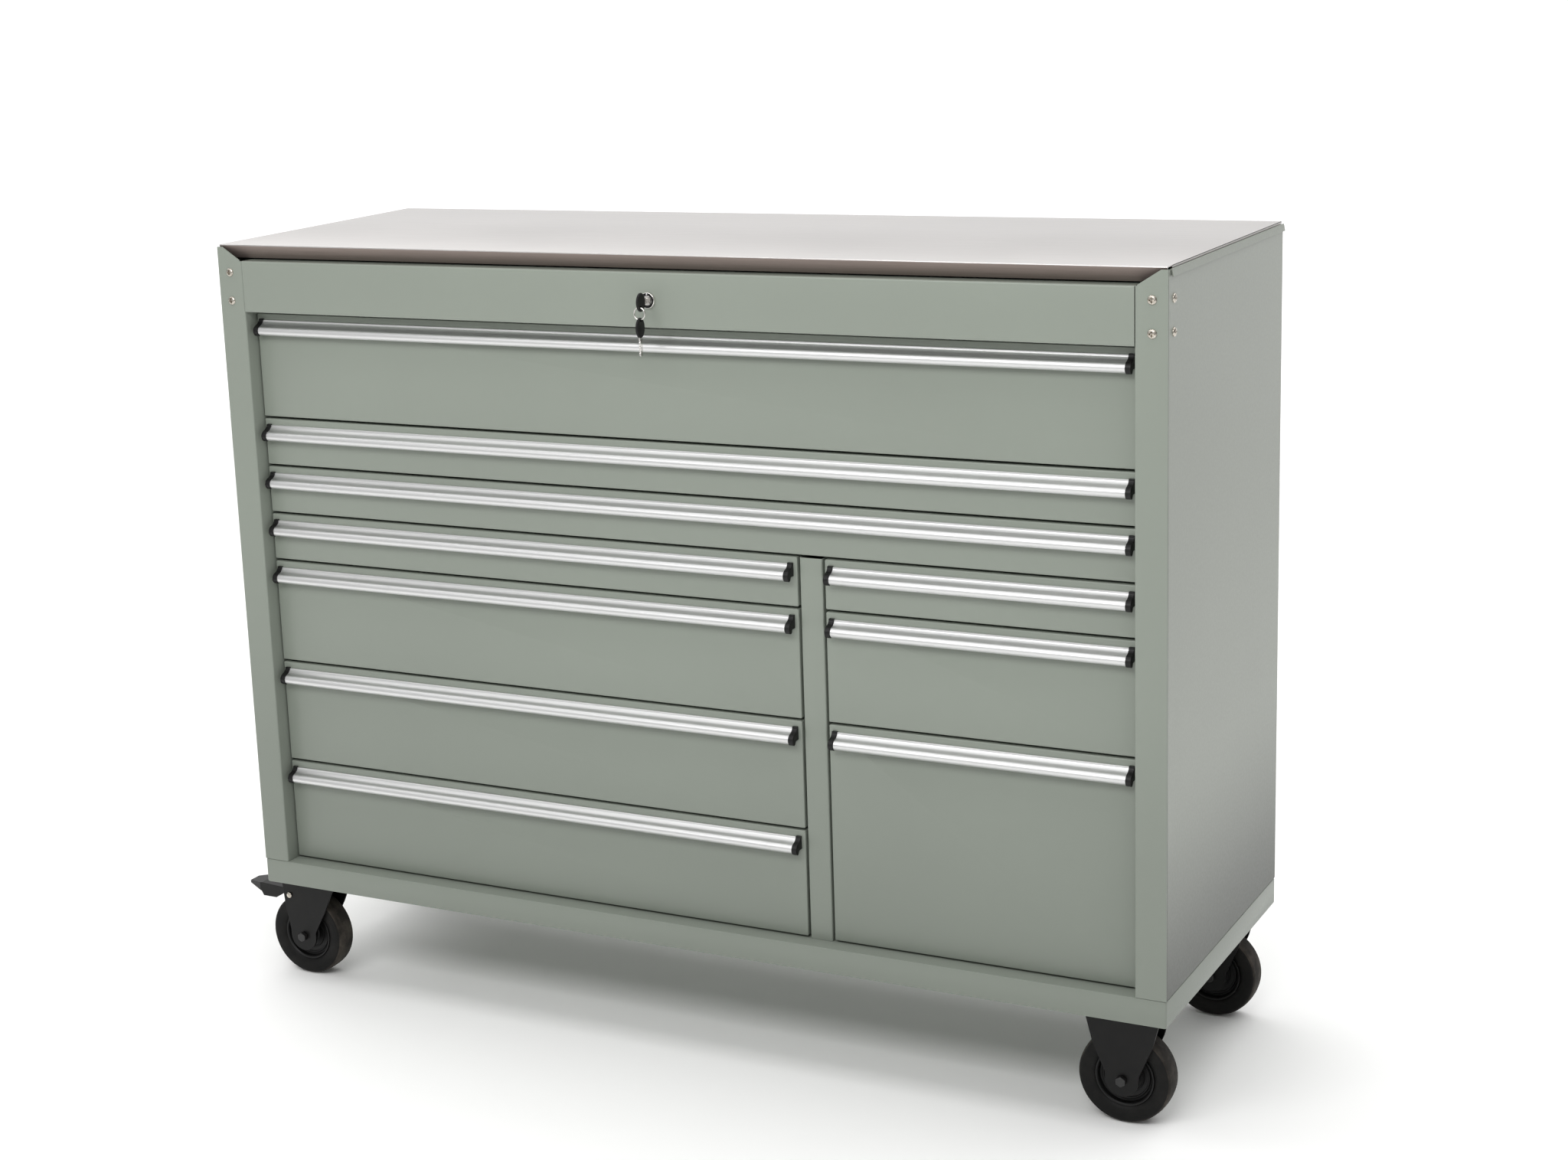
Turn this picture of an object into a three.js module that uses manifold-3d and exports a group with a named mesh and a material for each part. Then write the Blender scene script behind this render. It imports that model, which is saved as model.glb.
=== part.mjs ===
// Rolling tool chest: a wide steel cabinet with ten drawers, a steel worktop, a keyed lock,
// two fixed casters on the right and two braked swivel casters on the left.
// Millimetres, +Z up, drawers facing -Y. The chest is drawn with x = 0 on its centre line,
// y = 0 on the front plane of its posts and z = 0 on the floor, and is then moved so that
// the origin is the middle of the underside of its bounding box.

import * as THREE from 'three';
import { mergeVertices } from 'three/addons/utils/BufferGeometryUtils.js';
import Module from 'manifold-3d';

const wasm = await Module();
wasm.setup();

// ---------------------------------------------------------------- driving dimensions

// Cabinet
const WIDTH = 1420;
const DEPTH = 488;
const SHEET = 1.2;
const HEAVY_SHEET = 1.5;
const FIT = 0.3;

// Base, posts, header and side panels
const PLINTH_HEIGHT = 37.2;
const PLINTH_LIP = 20;
const POST_WIDTH = 42;
const POST_RETURN = 44;
const POST_FLANGE = 36;
const POST_FLAT = 9;
const HEADER_HEIGHT = 73.8;
const HEADER_DROP = 20;
const HEADER_GAP = 2.55;
const HEADER_FLANGE = 20;
const SIDE_FLANGE = 20;
const HEM_HEIGHT = 9.5;
const HEM_PROUD = 1.2;
const HEM_START = 10;

// Worktop
const TOP_RISE = 3.4;
const TOP_SIDE_INSET = 2.2;
const TOP_FRONT_INSET = 3.4;
const TOP_LIP_HEIGHT = 19.5;
const TOP_LIP_LEAN = 17;
const TOP_NOSE = 1.6;
const TOP_NOSE_DEPTH = 2.16;

// Drawers, from the bottom up in each column
const FRONT_RECESS = 24.2;
const FRONT_DEPTH = 16;
const ROW_GAP = 3.5;
const POST_GAP = 2;
const STACK_LIFT = 0.95;
const SHALLOW = 71.4;
const MEDIUM = 155.2;
const REAR_CLEARANCE = 27;
const BOX_LIFT = 5;
const BOX_TOP_DROP = 16;
const DIVIDER_X = 215.1;
const DIVIDER_WIDTH = 33.2;
const DIVIDER_GAP = 4;

// Slides
const SLIDE_SPACE = 13.5;
const RAIL_HEIGHT = 34;
const RAIL_FRONT_GAP = 7;
const RAIL_REAR_GAP = 5;
const RAIL_LIFT = 25;
const RAIL_LIP_GAP = 2;
const RUNNER_HEIGHT = 29;
const RUNNER_GAP = 3.5;
const UPRIGHT_WIDTH = 40;
const UPRIGHT_FRONT_GAP = 16;
const UPRIGHT_REAR_GAP = 60;

// Drawer pulls
const PULL_DROP = 9;
const PULL_INSET = 5;
const PULL_HEIGHT = 22.5;
const PULL_REACH = 17.5;
const PULL_LEG = 16;
const PULL_WALL = 2;
const PULL_SHOULDER = 6;
const PULL_LIP = 2.4;

// Casters
const WHEEL_RADIUS = 63.5;
const WHEEL_WIDTH = 37;
const WHEEL_HEADROOM = 30;
const RIM_RADIUS = 41;
const RIM_WEB = 5;
const RIM_EDGE = 3;
const TYRE_EDGE = 5;
const TYRE_CROWN = 1;
const HUB_RADIUS = 14;
const HUB_WIDTH = 42;
const WHEEL_SIDES = 32;
const RIM_SIDES = 20;
const CASTER_SIDE_INSET = 69;
const CASTER_FRONT_INSET = 54;
const SWIVEL_TRAIL = 30;
const PLATE_LENGTH = 104;
const PLATE_WIDTH = 84;
const PLATE_THICK = 4;
const FORK_WALL = 3;
const FORK_CLEARANCE = 2;
const FORK_LOBE = 23;
const LOBE_RISE = 8;
const FIXED_WAIST = 41;
const FIXED_WAIST_RISE = 50;
const SWIVEL_HEAD_FRONT = 30;
const SWIVEL_NECK_FRONT = 14;
const SWIVEL_NECK_RISE = 46;
const SWIVEL_HEAD_BACK = 13;
const SWIVEL_NECK_BACK = 10;
const CROWN_SETBACK = 14;
const AXLE_RADIUS = 4;
const AXLE_HEAD_RADIUS = 7.5;
const AXLE_HEAD = 6.5;
const RUN_CLEARANCE = 0.4;
const RACE_RADIUS = 27;
const RACE_HEIGHT = 6;
const KINGPIN_RADIUS = 6;
const KINGPIN_HEAD = 4;
const BRAKE_REACH = 137;
const BRAKE_PIN_RADIUS = 3;
const BRAKE_PIN_CLEARANCE = 0.75;
const BRAKE_PIN_BACK = 21;
const PEDAL_POINT = 26;

// Lock and keys
const LOCK_DROP = 56.9;
const BEZEL_RADIUS = 11.3;
const BEZEL_PROUD = 4.5;
const BARREL_RADIUS = 9.5;
const BARREL_LENGTH = 25;
const PLUG_RADIUS = 7;
const LOCK_ROD_RADIUS = 4;
const LOCK_CRANK = 13;
const LOCK_ROD_GAP = 6;
const LOCK_ARM_THICK = 3;
const LOCK_TRAVEL = 10;
const LOCK_BAR_THICK = 2.5;
const LOCK_BAR_WIDTH = 20;
const LOCK_TAB_CLEAR = 3;
const LOCK_HOOK_REACH = 4;
const LOCK_HOOK_THICK = 2;
const BOW_LENGTH = 20;
const BOW_HEIGHT = 25;
const BOW_THICK = 6;
const BOW_HOLE = 2.5;
const BOW_HOLE_INSET = 6;
const KEY_BLADE_HEIGHT = 7;
const KEY_BLADE_THICK = 2.2;
const KEY_TIP_DEPTH = 7;
const KEY_REACH = 31;
const RING_RADIUS = 8;
const RING_WIRE = 0.9;

// ---------------------------------------------------------------- derived places

const halfWidth = WIDTH / 2;
const baseZ = 2 * WHEEL_RADIUS + WHEEL_HEADROOM;
const plinthTop = baseZ + PLINTH_HEIGHT;
const stackZ = plinthTop + STACK_LIFT;
const stackTop = stackZ + 4 * MEDIUM + 3 * SHALLOW;
const bodyTop = stackTop + HEADER_GAP + HEADER_HEIGHT + HEADER_DROP;
const bodyFloor = plinthTop + FIT;
const headerTop = bodyTop - HEADER_DROP;
const headerBottom = headerTop - HEADER_HEIGHT;
const openingHalf = halfWidth - POST_WIDTH;
const panelInside = halfWidth - SHEET;
const topSurface = bodyTop + TOP_RISE;
const topUnder = topSurface - TOP_LIP_HEIGHT - TOP_NOSE;
const backInside = DEPTH - SHEET - FIT - SHEET;
const boxFront = FRONT_RECESS + FRONT_DEPTH - SHEET;
const boxBack = DEPTH - REAR_CLEARANCE;
const railFront = boxFront + RAIL_FRONT_GAP;
const railBack = boxBack - RAIL_REAR_GAP;
const runnerDepth = SLIDE_SPACE - RUNNER_GAP;
const casterX = halfWidth - CASTER_SIDE_INSET;
const dividerLeft = DIVIDER_X - DIVIDER_WIDTH / 2;
const dividerRight = DIVIDER_X + DIVIDER_WIDTH / 2;
const lockZ = bodyTop - LOCK_DROP;
const wheelZ = WHEEL_RADIUS;
const facetGrowth = 1 / Math.cos(Math.PI / WHEEL_SIDES);

// ---------------------------------------------------------------- materials

function material(color, roughness, metalness) {
  return new THREE.MeshStandardMaterial({ color, roughness, metalness });
}

const paint = () => material(0x8f998e, 0.42, 0.1);
const stainless = () => material(0xcfcdca, 0.3, 1);
const aluminium = () => material(0xb9bab9, 0.35, 1);
const zincSteel = () => material(0x9da0a2, 0.45, 1);
const blackSteel = () => material(0x161616, 0.4, 0.3);
const blackPlastic = () => material(0x1c1c1c, 0.5, 0);
const rubber = () => material(0x2b2927, 0.85, 0);
const chrome = () => material(0xd8d8d8, 0.12, 1);

// ---------------------------------------------------------------- solid helpers

const chest = new THREE.Group();

function piece(name, geometry, look) {
  const mesh = new THREE.Mesh(geometry, look);
  mesh.name = name;
  chest.add(mesh);
}

// Box between two opposite corners.
function block(x0, x1, y0, y1, z0, z1) {
  const box = new THREE.BoxGeometry(x1 - x0, y1 - y0, z1 - z0);
  return box.translate((x0 + x1) / 2, (y0 + y1) / 2, (z0 + z1) / 2);
}

function toSolid(geometry) {
  const bare = geometry.clone();
  bare.deleteAttribute('normal');
  bare.deleteAttribute('uv');
  const merged = mergeVertices(bare, 1e-4);
  const vertProperties = new Float32Array(merged.attributes.position.array);
  const triVerts = new Uint32Array(merged.index.array);
  return new wasm.Manifold(new wasm.Mesh({ numProp: 3, vertProperties, triVerts }));
}

function toGeometry(body) {
  const mesh = body.getMesh();
  const geometry = new THREE.BufferGeometry();
  geometry.setAttribute('position', new THREE.BufferAttribute(mesh.vertProperties, 3));
  geometry.setIndex(new THREE.BufferAttribute(mesh.triVerts, 1));
  geometry.computeVertexNormals();
  return geometry;
}

function join(...geometries) {
  return toGeometry(geometries.map(toSolid).reduce((sum, next) => sum.add(next)));
}

function cut(geometry, ...tools) {
  return toGeometry(tools.map(toSolid).reduce((rest, tool) => rest.subtract(tool), toSolid(geometry)));
}

function common(first, second) {
  return toGeometry(toSolid(first).intersect(toSolid(second)));
}

function outline(points) {
  return new THREE.Shape(points.map(([a, b]) => new THREE.Vector2(a, b)));
}

function extrude(shape, length) {
  return new THREE.ExtrudeGeometry(shape, { depth: length, bevelEnabled: false, curveSegments: 8 });
}

const xAxis = new THREE.Vector3(1, 0, 0);
const yAxis = new THREE.Vector3(0, 1, 0);
const zAxis = new THREE.Vector3(0, 0, 1);

// Outline in (y, z), run along x.
function alongX(shape, x0, x1) {
  const basis = new THREE.Matrix4().makeBasis(yAxis, zAxis, xAxis);
  return extrude(shape, x1 - x0).applyMatrix4(basis).translate(x0, 0, 0);
}

// Outline in (x, z), run along y.
function alongY(shape, y0, y1) {
  const basis = new THREE.Matrix4().makeBasis(xAxis, zAxis, yAxis.clone().negate());
  return extrude(shape, y1 - y0).applyMatrix4(basis).translate(0, y1, 0);
}

// Outline in (x, y), run along z.
function alongZ(shape, z0, z1) {
  return extrude(shape, z1 - z0).translate(0, 0, z0);
}

// Round bar along y.
function barY(radius, x, y0, y1, z, sides = 16) {
  const bar = new THREE.CylinderGeometry(radius, radius, y1 - y0, sides);
  return bar.translate(x, (y0 + y1) / 2, z);
}

// Round bar along z.
function barZ(radius, x, y, z0, z1, sides = 16) {
  const bar = new THREE.CylinderGeometry(radius, radius, z1 - z0, sides);
  return bar.rotateX(Math.PI / 2).translate(x, y, (z0 + z1) / 2);
}

// Round bar along x.
function barX(radius, x0, x1, y, z, sides = 16) {
  const bar = new THREE.CylinderGeometry(radius, radius, x1 - x0, sides);
  return bar.rotateZ(Math.PI / 2).translate((x0 + x1) / 2, y, z);
}

// Mirrored copy of an x range for the left (-1) or right (+1) side.
function sided(side, near, far) {
  return side > 0 ? [near, far] : [-far, -near];
}

// ---------------------------------------------------------------- cabinet shell

// Shallow tray with a lip turned in all round its open top; the front lip is the ledge that
// shows below the drawers.
function makePlinth() {
  const outer = block(-halfWidth, halfWidth, 0, DEPTH, baseZ, plinthTop);
  const wall = HEAVY_SHEET;
  const wide = halfWidth - wall;
  const hollow = block(-wide, wide, wall, DEPTH - wall, baseZ + wall, plinthTop - wall);
  const mouthHalf = halfWidth - PLINTH_LIP;
  const mouthFront = POST_RETURN + FIT;
  const mouth = block(-mouthHalf, mouthHalf, mouthFront, DEPTH - PLINTH_LIP, baseZ + wall, plinthTop + 1);
  piece('base_plinth', cut(outer, hollow, mouth), paint());
}

// Channel post: front web, inner return beside the drawers and outer flange inside the side
// panel. The web runs up to the worktop and is cut down along a slope to the header.
function makePost(name, side) {
  const wall = HEAVY_SHEET;
  const flangeOut = panelInside - FIT;
  const [webLeft, webRight] = sided(side, openingHalf, halfWidth);
  const [returnLeft, returnRight] = sided(side, openingHalf, openingHalf + wall);
  const [flangeLeft, flangeRight] = sided(side, flangeOut - wall, flangeOut);
  const web = block(webLeft, webRight, 0, wall, bodyFloor, bodyTop);
  const innerReturn = block(returnLeft, returnRight, 0, POST_RETURN, bodyFloor, headerTop);
  const outerFlange = block(flangeLeft, flangeRight, 0, POST_FLANGE, bodyFloor, headerTop);
  const slope = outline([
    [side * (openingHalf - 1), headerTop],
    [side * (openingHalf + wall), headerTop],
    [side * (halfWidth - POST_FLAT), bodyTop],
    [side * (halfWidth - POST_FLAT), bodyTop + 1],
    [side * (openingHalf - 1), bodyTop + 1],
  ]);
  const channel = join(web, innerReturn, outerFlange);
  piece(name, cut(channel, alongY(slope, -1, POST_FLANGE)), paint());
}

// Side sheet with flanges turned in at the bottom, rear and under the worktop, and a folded
// hem standing proud along the top outside edge.
function makeSidePanel(name, side) {
  const front = HEAVY_SHEET + FIT;
  const flangeIn = halfWidth - SIDE_FLANGE;
  const flangeStart = POST_RETURN + FIT;
  const ledgeTop = topUnder - FIT;
  const [sheetLeft, sheetRight] = sided(side, panelInside, halfWidth);
  const [foldLeft, foldRight] = sided(side, flangeIn, halfWidth - SHEET / 2);
  const [hemLeft, hemRight] = sided(side, halfWidth - SHEET / 2, halfWidth + HEM_PROUD);
  piece(name, join(
    block(sheetLeft, sheetRight, front, DEPTH, bodyFloor, bodyTop),
    block(foldLeft, foldRight, flangeStart, backInside - FIT, bodyFloor, bodyFloor + SHEET),
    block(foldLeft, foldRight, flangeStart, backInside - FIT, ledgeTop - SHEET, ledgeTop),
    block(foldLeft, foldRight, DEPTH - SHEET, DEPTH, bodyFloor, ledgeTop),
    block(hemLeft, hemRight, HEM_START, DEPTH, bodyTop - HEM_HEIGHT, bodyTop),
  ), paint());
}

function makeBackPanel() {
  const half = panelInside - FIT;
  piece('back_panel', block(-half, half, backInside, backInside + SHEET, bodyFloor, topUnder - FIT), paint());
}

// Lock fascia: a channel along x with a round hole for the lock barrel.
function makeHeader() {
  const half = openingHalf - FIT;
  const inner = headerTop - SHEET;
  const section = outline([
    [0, headerBottom],
    [HEADER_FLANGE, headerBottom],
    [HEADER_FLANGE, headerBottom + SHEET],
    [SHEET, headerBottom + SHEET],
    [SHEET, inner],
    [POST_FLANGE, inner],
    [POST_FLANGE, headerTop],
    [0, headerTop],
  ]);
  const hole = barY(BARREL_RADIUS + FIT, 0, -1, SHEET + 1, lockZ);
  piece('header_panel', cut(alongX(section, -half, half), hole), paint());
}

// Channel column between the two lower drawer columns, open at the back.
function makeDivider() {
  const top = stackZ + 3 * MEDIUM + SHALLOW - ROW_GAP / 2;
  const rear = backInside - FIT;
  const section = outline([
    [dividerLeft, FRONT_RECESS],
    [dividerRight, FRONT_RECESS],
    [dividerRight, rear],
    [dividerRight - SHEET, rear],
    [dividerRight - SHEET, FRONT_RECESS + SHEET],
    [dividerLeft + SHEET, FRONT_RECESS + SHEET],
    [dividerLeft + SHEET, rear],
    [dividerLeft, rear],
  ]);
  piece('divider', alongZ(section, bodyFloor, top), paint());
}

// Folded stainless sheet: flat top, narrow nose, front lip leaning back under the nose, and
// flanges turned down at the back and sides.
function makeWorktop() {
  const half = halfWidth - TOP_SIDE_INSET;
  const wall = SHEET;
  const noseY = TOP_FRONT_INSET;
  const noseZ = topSurface - TOP_NOSE;
  const lipY = noseY + TOP_LIP_LEAN;
  const rear = DEPTH;
  const under = topSurface - wall;
  const insideNose = noseY + TOP_NOSE_DEPTH;
  const section = outline([
    [noseY, topSurface],
    [noseY, noseZ],
    [lipY, topUnder],
    [lipY + wall, topUnder + wall],
    [insideNose, noseZ],
    [insideNose, under],
    [rear - wall, under],
    [rear - wall, topUnder],
    [rear, topUnder],
    [rear, topSurface],
  ]);
  const flangeFront = lipY + wall;
  piece('worktop', join(
    alongX(section, -half, half),
    block(-half, -half + wall, flangeFront, rear, topUnder, under + wall / 2),
    block(half - wall, half, flangeFront, rear, topUnder, under + wall / 2),
  ), stainless());
}

// ---------------------------------------------------------------- drawers and slides

function row(name, left, right, bottom, pitch) {
  return { name, left, right, bottom: bottom + ROW_GAP / 2, height: pitch - ROW_GAP };
}

// Rows run from the top down; left and right are the walls that each opening lies between.
function drawerRows() {
  const lowest = stackZ;
  const second = lowest + MEDIUM;
  const third = second + MEDIUM;
  const fourth = third + MEDIUM;
  const fifth = fourth + SHALLOW;
  const sixth = fifth + SHALLOW;
  const seventh = sixth + SHALLOW;
  const full = [-openingHalf, openingHalf];
  const leftColumn = [-openingHalf, dividerLeft];
  const rightColumn = [dividerRight, openingHalf];
  return [
    row('top', ...full, seventh, MEDIUM),
    row('wide_upper', ...full, sixth, SHALLOW),
    row('wide_lower', ...full, fifth, SHALLOW),
    row('left_shallow', ...leftColumn, fourth, SHALLOW),
    row('left_upper', ...leftColumn, third, MEDIUM),
    row('left_middle', ...leftColumn, second, MEDIUM),
    row('left_bottom', ...leftColumn, lowest, MEDIUM),
    row('right_shallow', ...rightColumn, fourth, SHALLOW),
    row('right_middle', ...rightColumn, third, MEDIUM),
    row('right_tall', ...rightColumn, lowest, 2 * MEDIUM),
  ];
}

const rows = drawerRows();

// Edge of a drawer front beside a post or beside the divider.
function frontEdge(wall, inward) {
  const gap = Math.abs(wall) === openingHalf ? POST_GAP : DIVIDER_GAP;
  return wall + inward * gap;
}

function boxTop(drawer) {
  return drawer.bottom + drawer.height - BOX_TOP_DROP;
}

// Hollow pressed front, open at the back beyond the box, with an inner skin that ties it to
// an open box; a folded slide runner is fixed along each side of the box.
function makeDrawer(drawer) {
  const wall = SHEET;
  const left = frontEdge(drawer.left, 1);
  const right = frontEdge(drawer.right, -1);
  const low = drawer.bottom;
  const high = low + drawer.height;
  const frontBack = FRONT_RECESS + FRONT_DEPTH;
  const frontShell = cut(
    block(left, right, FRONT_RECESS, frontBack, low, high),
    block(left + wall, right - wall, FRONT_RECESS + wall, frontBack + 1, low + wall, high - wall),
  );
  const boxLeft = drawer.left + SLIDE_SPACE;
  const boxRight = drawer.right - SLIDE_SPACE;
  const floor = low + BOX_LIFT;
  const skin = block(boxLeft, boxRight, boxFront, frontBack, low + wall / 2, high - wall / 2);
  const box = cut(
    block(boxLeft, boxRight, boxFront, boxBack, floor, boxTop(drawer)),
    block(boxLeft + wall, boxRight - wall, boxFront + wall, boxBack - wall, floor + wall, high),
  );
  const runners = [makeRunner(boxLeft, -1, floor), makeRunner(boxRight, 1, floor)];
  piece(`drawer_${drawer.name}`, join(frontShell, skin, box, ...runners), paint());
}

// Channel fixed to the side of a drawer box, its open side facing the rail.
function makeRunner(wallX, side, floor) {
  const middle = floor + RAIL_LIFT;
  const half = RUNNER_HEIGHT / 2;
  const outer = wallX + side * runnerDepth;
  const inner = wallX + side * SHEET;
  const root = wallX - side * SHEET / 2;
  return cut(
    block(Math.min(root, outer), Math.max(root, outer), railFront, railBack, middle - half, middle + half),
    block(
      Math.min(inner, outer + side), Math.max(inner, outer + side), railFront - 1, railBack + 1,
      middle - half + SHEET, middle + half - SHEET,
    ),
  );
}

// Rails for a set of drawers, joined by two uprights that stand against the wall. The side
// racks have deep uprights that reach the side panel; those on the divider are flat straps.
function makeRack(name, wallX, inward, drawers, uprightDepth) {
  const web = wallX + inward * FIT;
  const webInside = web + inward * HEAVY_SHEET;
  const lipEnd = wallX + inward * (SLIDE_SPACE - RAIL_LIP_GAP);
  const half = RAIL_HEIGHT / 2;
  const span = (a, b) => [Math.min(a, b), Math.max(a, b)];
  const rails = drawers.map((drawer) => {
    const middle = drawer.bottom + BOX_LIFT + RAIL_LIFT;
    return cut(
      block(...span(web, lipEnd), railFront, railBack, middle - half, middle + half),
      block(
        ...span(webInside, lipEnd + inward), railFront - 1, railBack + 1,
        middle - half + HEAVY_SHEET, middle + half - HEAVY_SHEET,
      ),
    );
  });
  const top = Math.max(...drawers.map((drawer) => drawer.bottom)) + BOX_LIFT + RAIL_LIFT + half;
  const starts = [POST_RETURN + UPRIGHT_FRONT_GAP, railBack - UPRIGHT_REAR_GAP];
  const low = bodyFloor + SHEET + FIT;
  const uprights = starts.map((start) => {
    const solid = block(...span(webInside, wallX - inward * uprightDepth),
      start, start + UPRIGHT_WIDTH, low, top);
    const deep = uprightDepth > 0;
    if (!deep) return block(...span(web, webInside), start, start + UPRIGHT_WIDTH, low, top);
    return cut(solid, block(...span(web, wallX - inward * (uprightDepth + 1)),
      start + HEAVY_SHEET, start + UPRIGHT_WIDTH - HEAVY_SHEET, low - 1, top + 1));
  });
  piece(name, join(...uprights, ...rails), zincSteel());
}

// Hooked pull section: a back leg on the drawer front, a flat top, then a rounded bow that
// ends in a free lower lip, leaving a finger gap that is open below.
function makePull(drawer) {
  const left = frontEdge(drawer.left, 1) + PULL_INSET;
  const right = frontEdge(drawer.right, -1) - PULL_INSET;
  const top = drawer.bottom + drawer.height - PULL_DROP;
  const face = FRONT_RECESS - FIT;
  const nose = face - PULL_REACH;
  const wall = PULL_WALL;
  const lipZ = top - PULL_HEIGHT;
  const bowZ = top - PULL_HEIGHT / 2;
  const shoulder = face - PULL_SHOULDER;
  const shoulderZ = top - PULL_SHOULDER / 2;
  const lip = nose + PULL_LIP;
  const section = new THREE.Shape();
  section.moveTo(face, top);
  section.lineTo(face, top - PULL_LEG);
  section.lineTo(face - wall, top - PULL_LEG);
  section.lineTo(face - wall, top - wall);
  section.lineTo(shoulder, top - wall);
  section.quadraticCurveTo(nose + wall, shoulderZ - wall, nose + wall, bowZ);
  section.quadraticCurveTo(nose + wall, lipZ + 2 * wall, lip + wall, lipZ);
  section.lineTo(lip, lipZ);
  section.quadraticCurveTo(nose, lipZ + 2 * wall, nose, bowZ);
  section.quadraticCurveTo(nose, shoulderZ, shoulder, top);
  section.closePath();
  const pull = new THREE.Shape(section.getPoints(4));
  piece(`pull_${drawer.name}`, alongX(pull, left, right), aluminium());
}

// ---------------------------------------------------------------- casters

// Ring or disc turned about y from a closed (radius, y) profile.
function turned(profile, x, y, z, sides = WHEEL_SIDES) {
  const points = [...profile, profile[0]].map(([r, a]) => new THREE.Vector2(r, a));
  return new THREE.LatheGeometry(points, sides, Math.PI / sides).translate(x, y, z);
}

function makeWheel(place, x, y) {
  const radius = WHEEL_RADIUS * facetGrowth;
  const half = WHEEL_WIDTH / 2;
  const bead = RIM_RADIUS + FIT;
  const rimHalf = half - TYRE_EDGE + TYRE_CROWN;
  piece(`tyre_${place}`, turned([
    [bead, -rimHalf],
    [bead + TYRE_EDGE, -half],
    [radius - TYRE_EDGE, -half],
    [radius - TYRE_CROWN, -half + TYRE_EDGE],
    [radius, 0],
    [radius - TYRE_CROWN, half - TYRE_EDGE],
    [radius - TYRE_EDGE, half],
    [bead + TYRE_EDGE, half],
    [bead, rimHalf],
  ], x, y, wheelZ), rubber());
  const bore = AXLE_RADIUS + RUN_CLEARANCE;
  const hubHalf = HUB_WIDTH / 2;
  const flange = RIM_RADIUS - RIM_EDGE;
  const pocket = RIM_RADIUS - RIM_WEB;
  piece(`rim_${place}`, turned([
    [bore, -hubHalf],
    [HUB_RADIUS, -hubHalf],
    [HUB_RADIUS, -RIM_WEB],
    [pocket, -RIM_WEB],
    [flange, -rimHalf],
    [RIM_RADIUS, -rimHalf],
    [RIM_RADIUS, rimHalf],
    [flange, rimHalf],
    [pocket, RIM_WEB],
    [HUB_RADIUS, RIM_WEB],
    [HUB_RADIUS, hubHalf],
    [bore, hubHalf],
  ], x, y, wheelZ, RIM_SIDES), blackPlastic());
  const end = HUB_WIDTH / 2 + FORK_CLEARANCE + FORK_WALL + FIT;
  piece(`axle_${place}`, join(
    barY(AXLE_RADIUS, x, y - end - 1, y + end + 1, wheelZ),
    barY(AXLE_HEAD_RADIUS, x, y - end - AXLE_HEAD, y - end, wheelZ, 6),
    barY(AXLE_HEAD_RADIUS, x, y + end, y + end + AXLE_HEAD, wheelZ, 6),
  ), zincSteel());
}

// Fork leg in (x, z): straight flanks from the head down to a round lobe about the axle.
function legOutline(axleX, flanks) {
  const shape = new THREE.Shape();
  shape.moveTo(...flanks.topLeft);
  shape.lineTo(...flanks.left);
  shape.lineTo(axleX - FORK_LOBE, wheelZ + LOBE_RISE);
  shape.absarc(axleX, wheelZ, FORK_LOBE, Math.PI, 2 * Math.PI, false);
  shape.lineTo(axleX + FORK_LOBE, wheelZ + LOBE_RISE);
  shape.lineTo(...flanks.right);
  shape.lineTo(...flanks.topRight);
  shape.closePath();
  return shape;
}

function forkLegs(axleX, y, flanks) {
  const inner = HUB_WIDTH / 2 + FORK_CLEARANCE;
  const shape = legOutline(axleX, flanks);
  return [
    alongY(shape, y - inner - FORK_WALL, y - inner),
    alongY(shape, y + inner, y + inner + FORK_WALL),
  ];
}

// Fixed caster: plate and both legs are one pressing.
function makeFixedCaster(place, x, y) {
  const top = baseZ - FIT;
  const plateHalf = PLATE_LENGTH / 2;
  const flanks = {
    topLeft: [x - plateHalf, top - 1],
    left: [x - FIXED_WAIST, wheelZ + FIXED_WAIST_RISE],
    right: [x + FIXED_WAIST, wheelZ + FIXED_WAIST_RISE],
    topRight: [x + plateHalf, top - 1],
  };
  const plate = block(x - plateHalf, x + plateHalf, y - PLATE_WIDTH / 2, y + PLATE_WIDTH / 2,
    top - PLATE_THICK, top);
  const bore = barY(AXLE_RADIUS + FIT, x, y - PLATE_WIDTH, y + PLATE_WIDTH, wheelZ);
  piece(`fork_${place}`, cut(join(plate, ...forkLegs(x, y, flanks)), bore), blackSteel());
  makeWheel(place, x, y);
}

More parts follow.
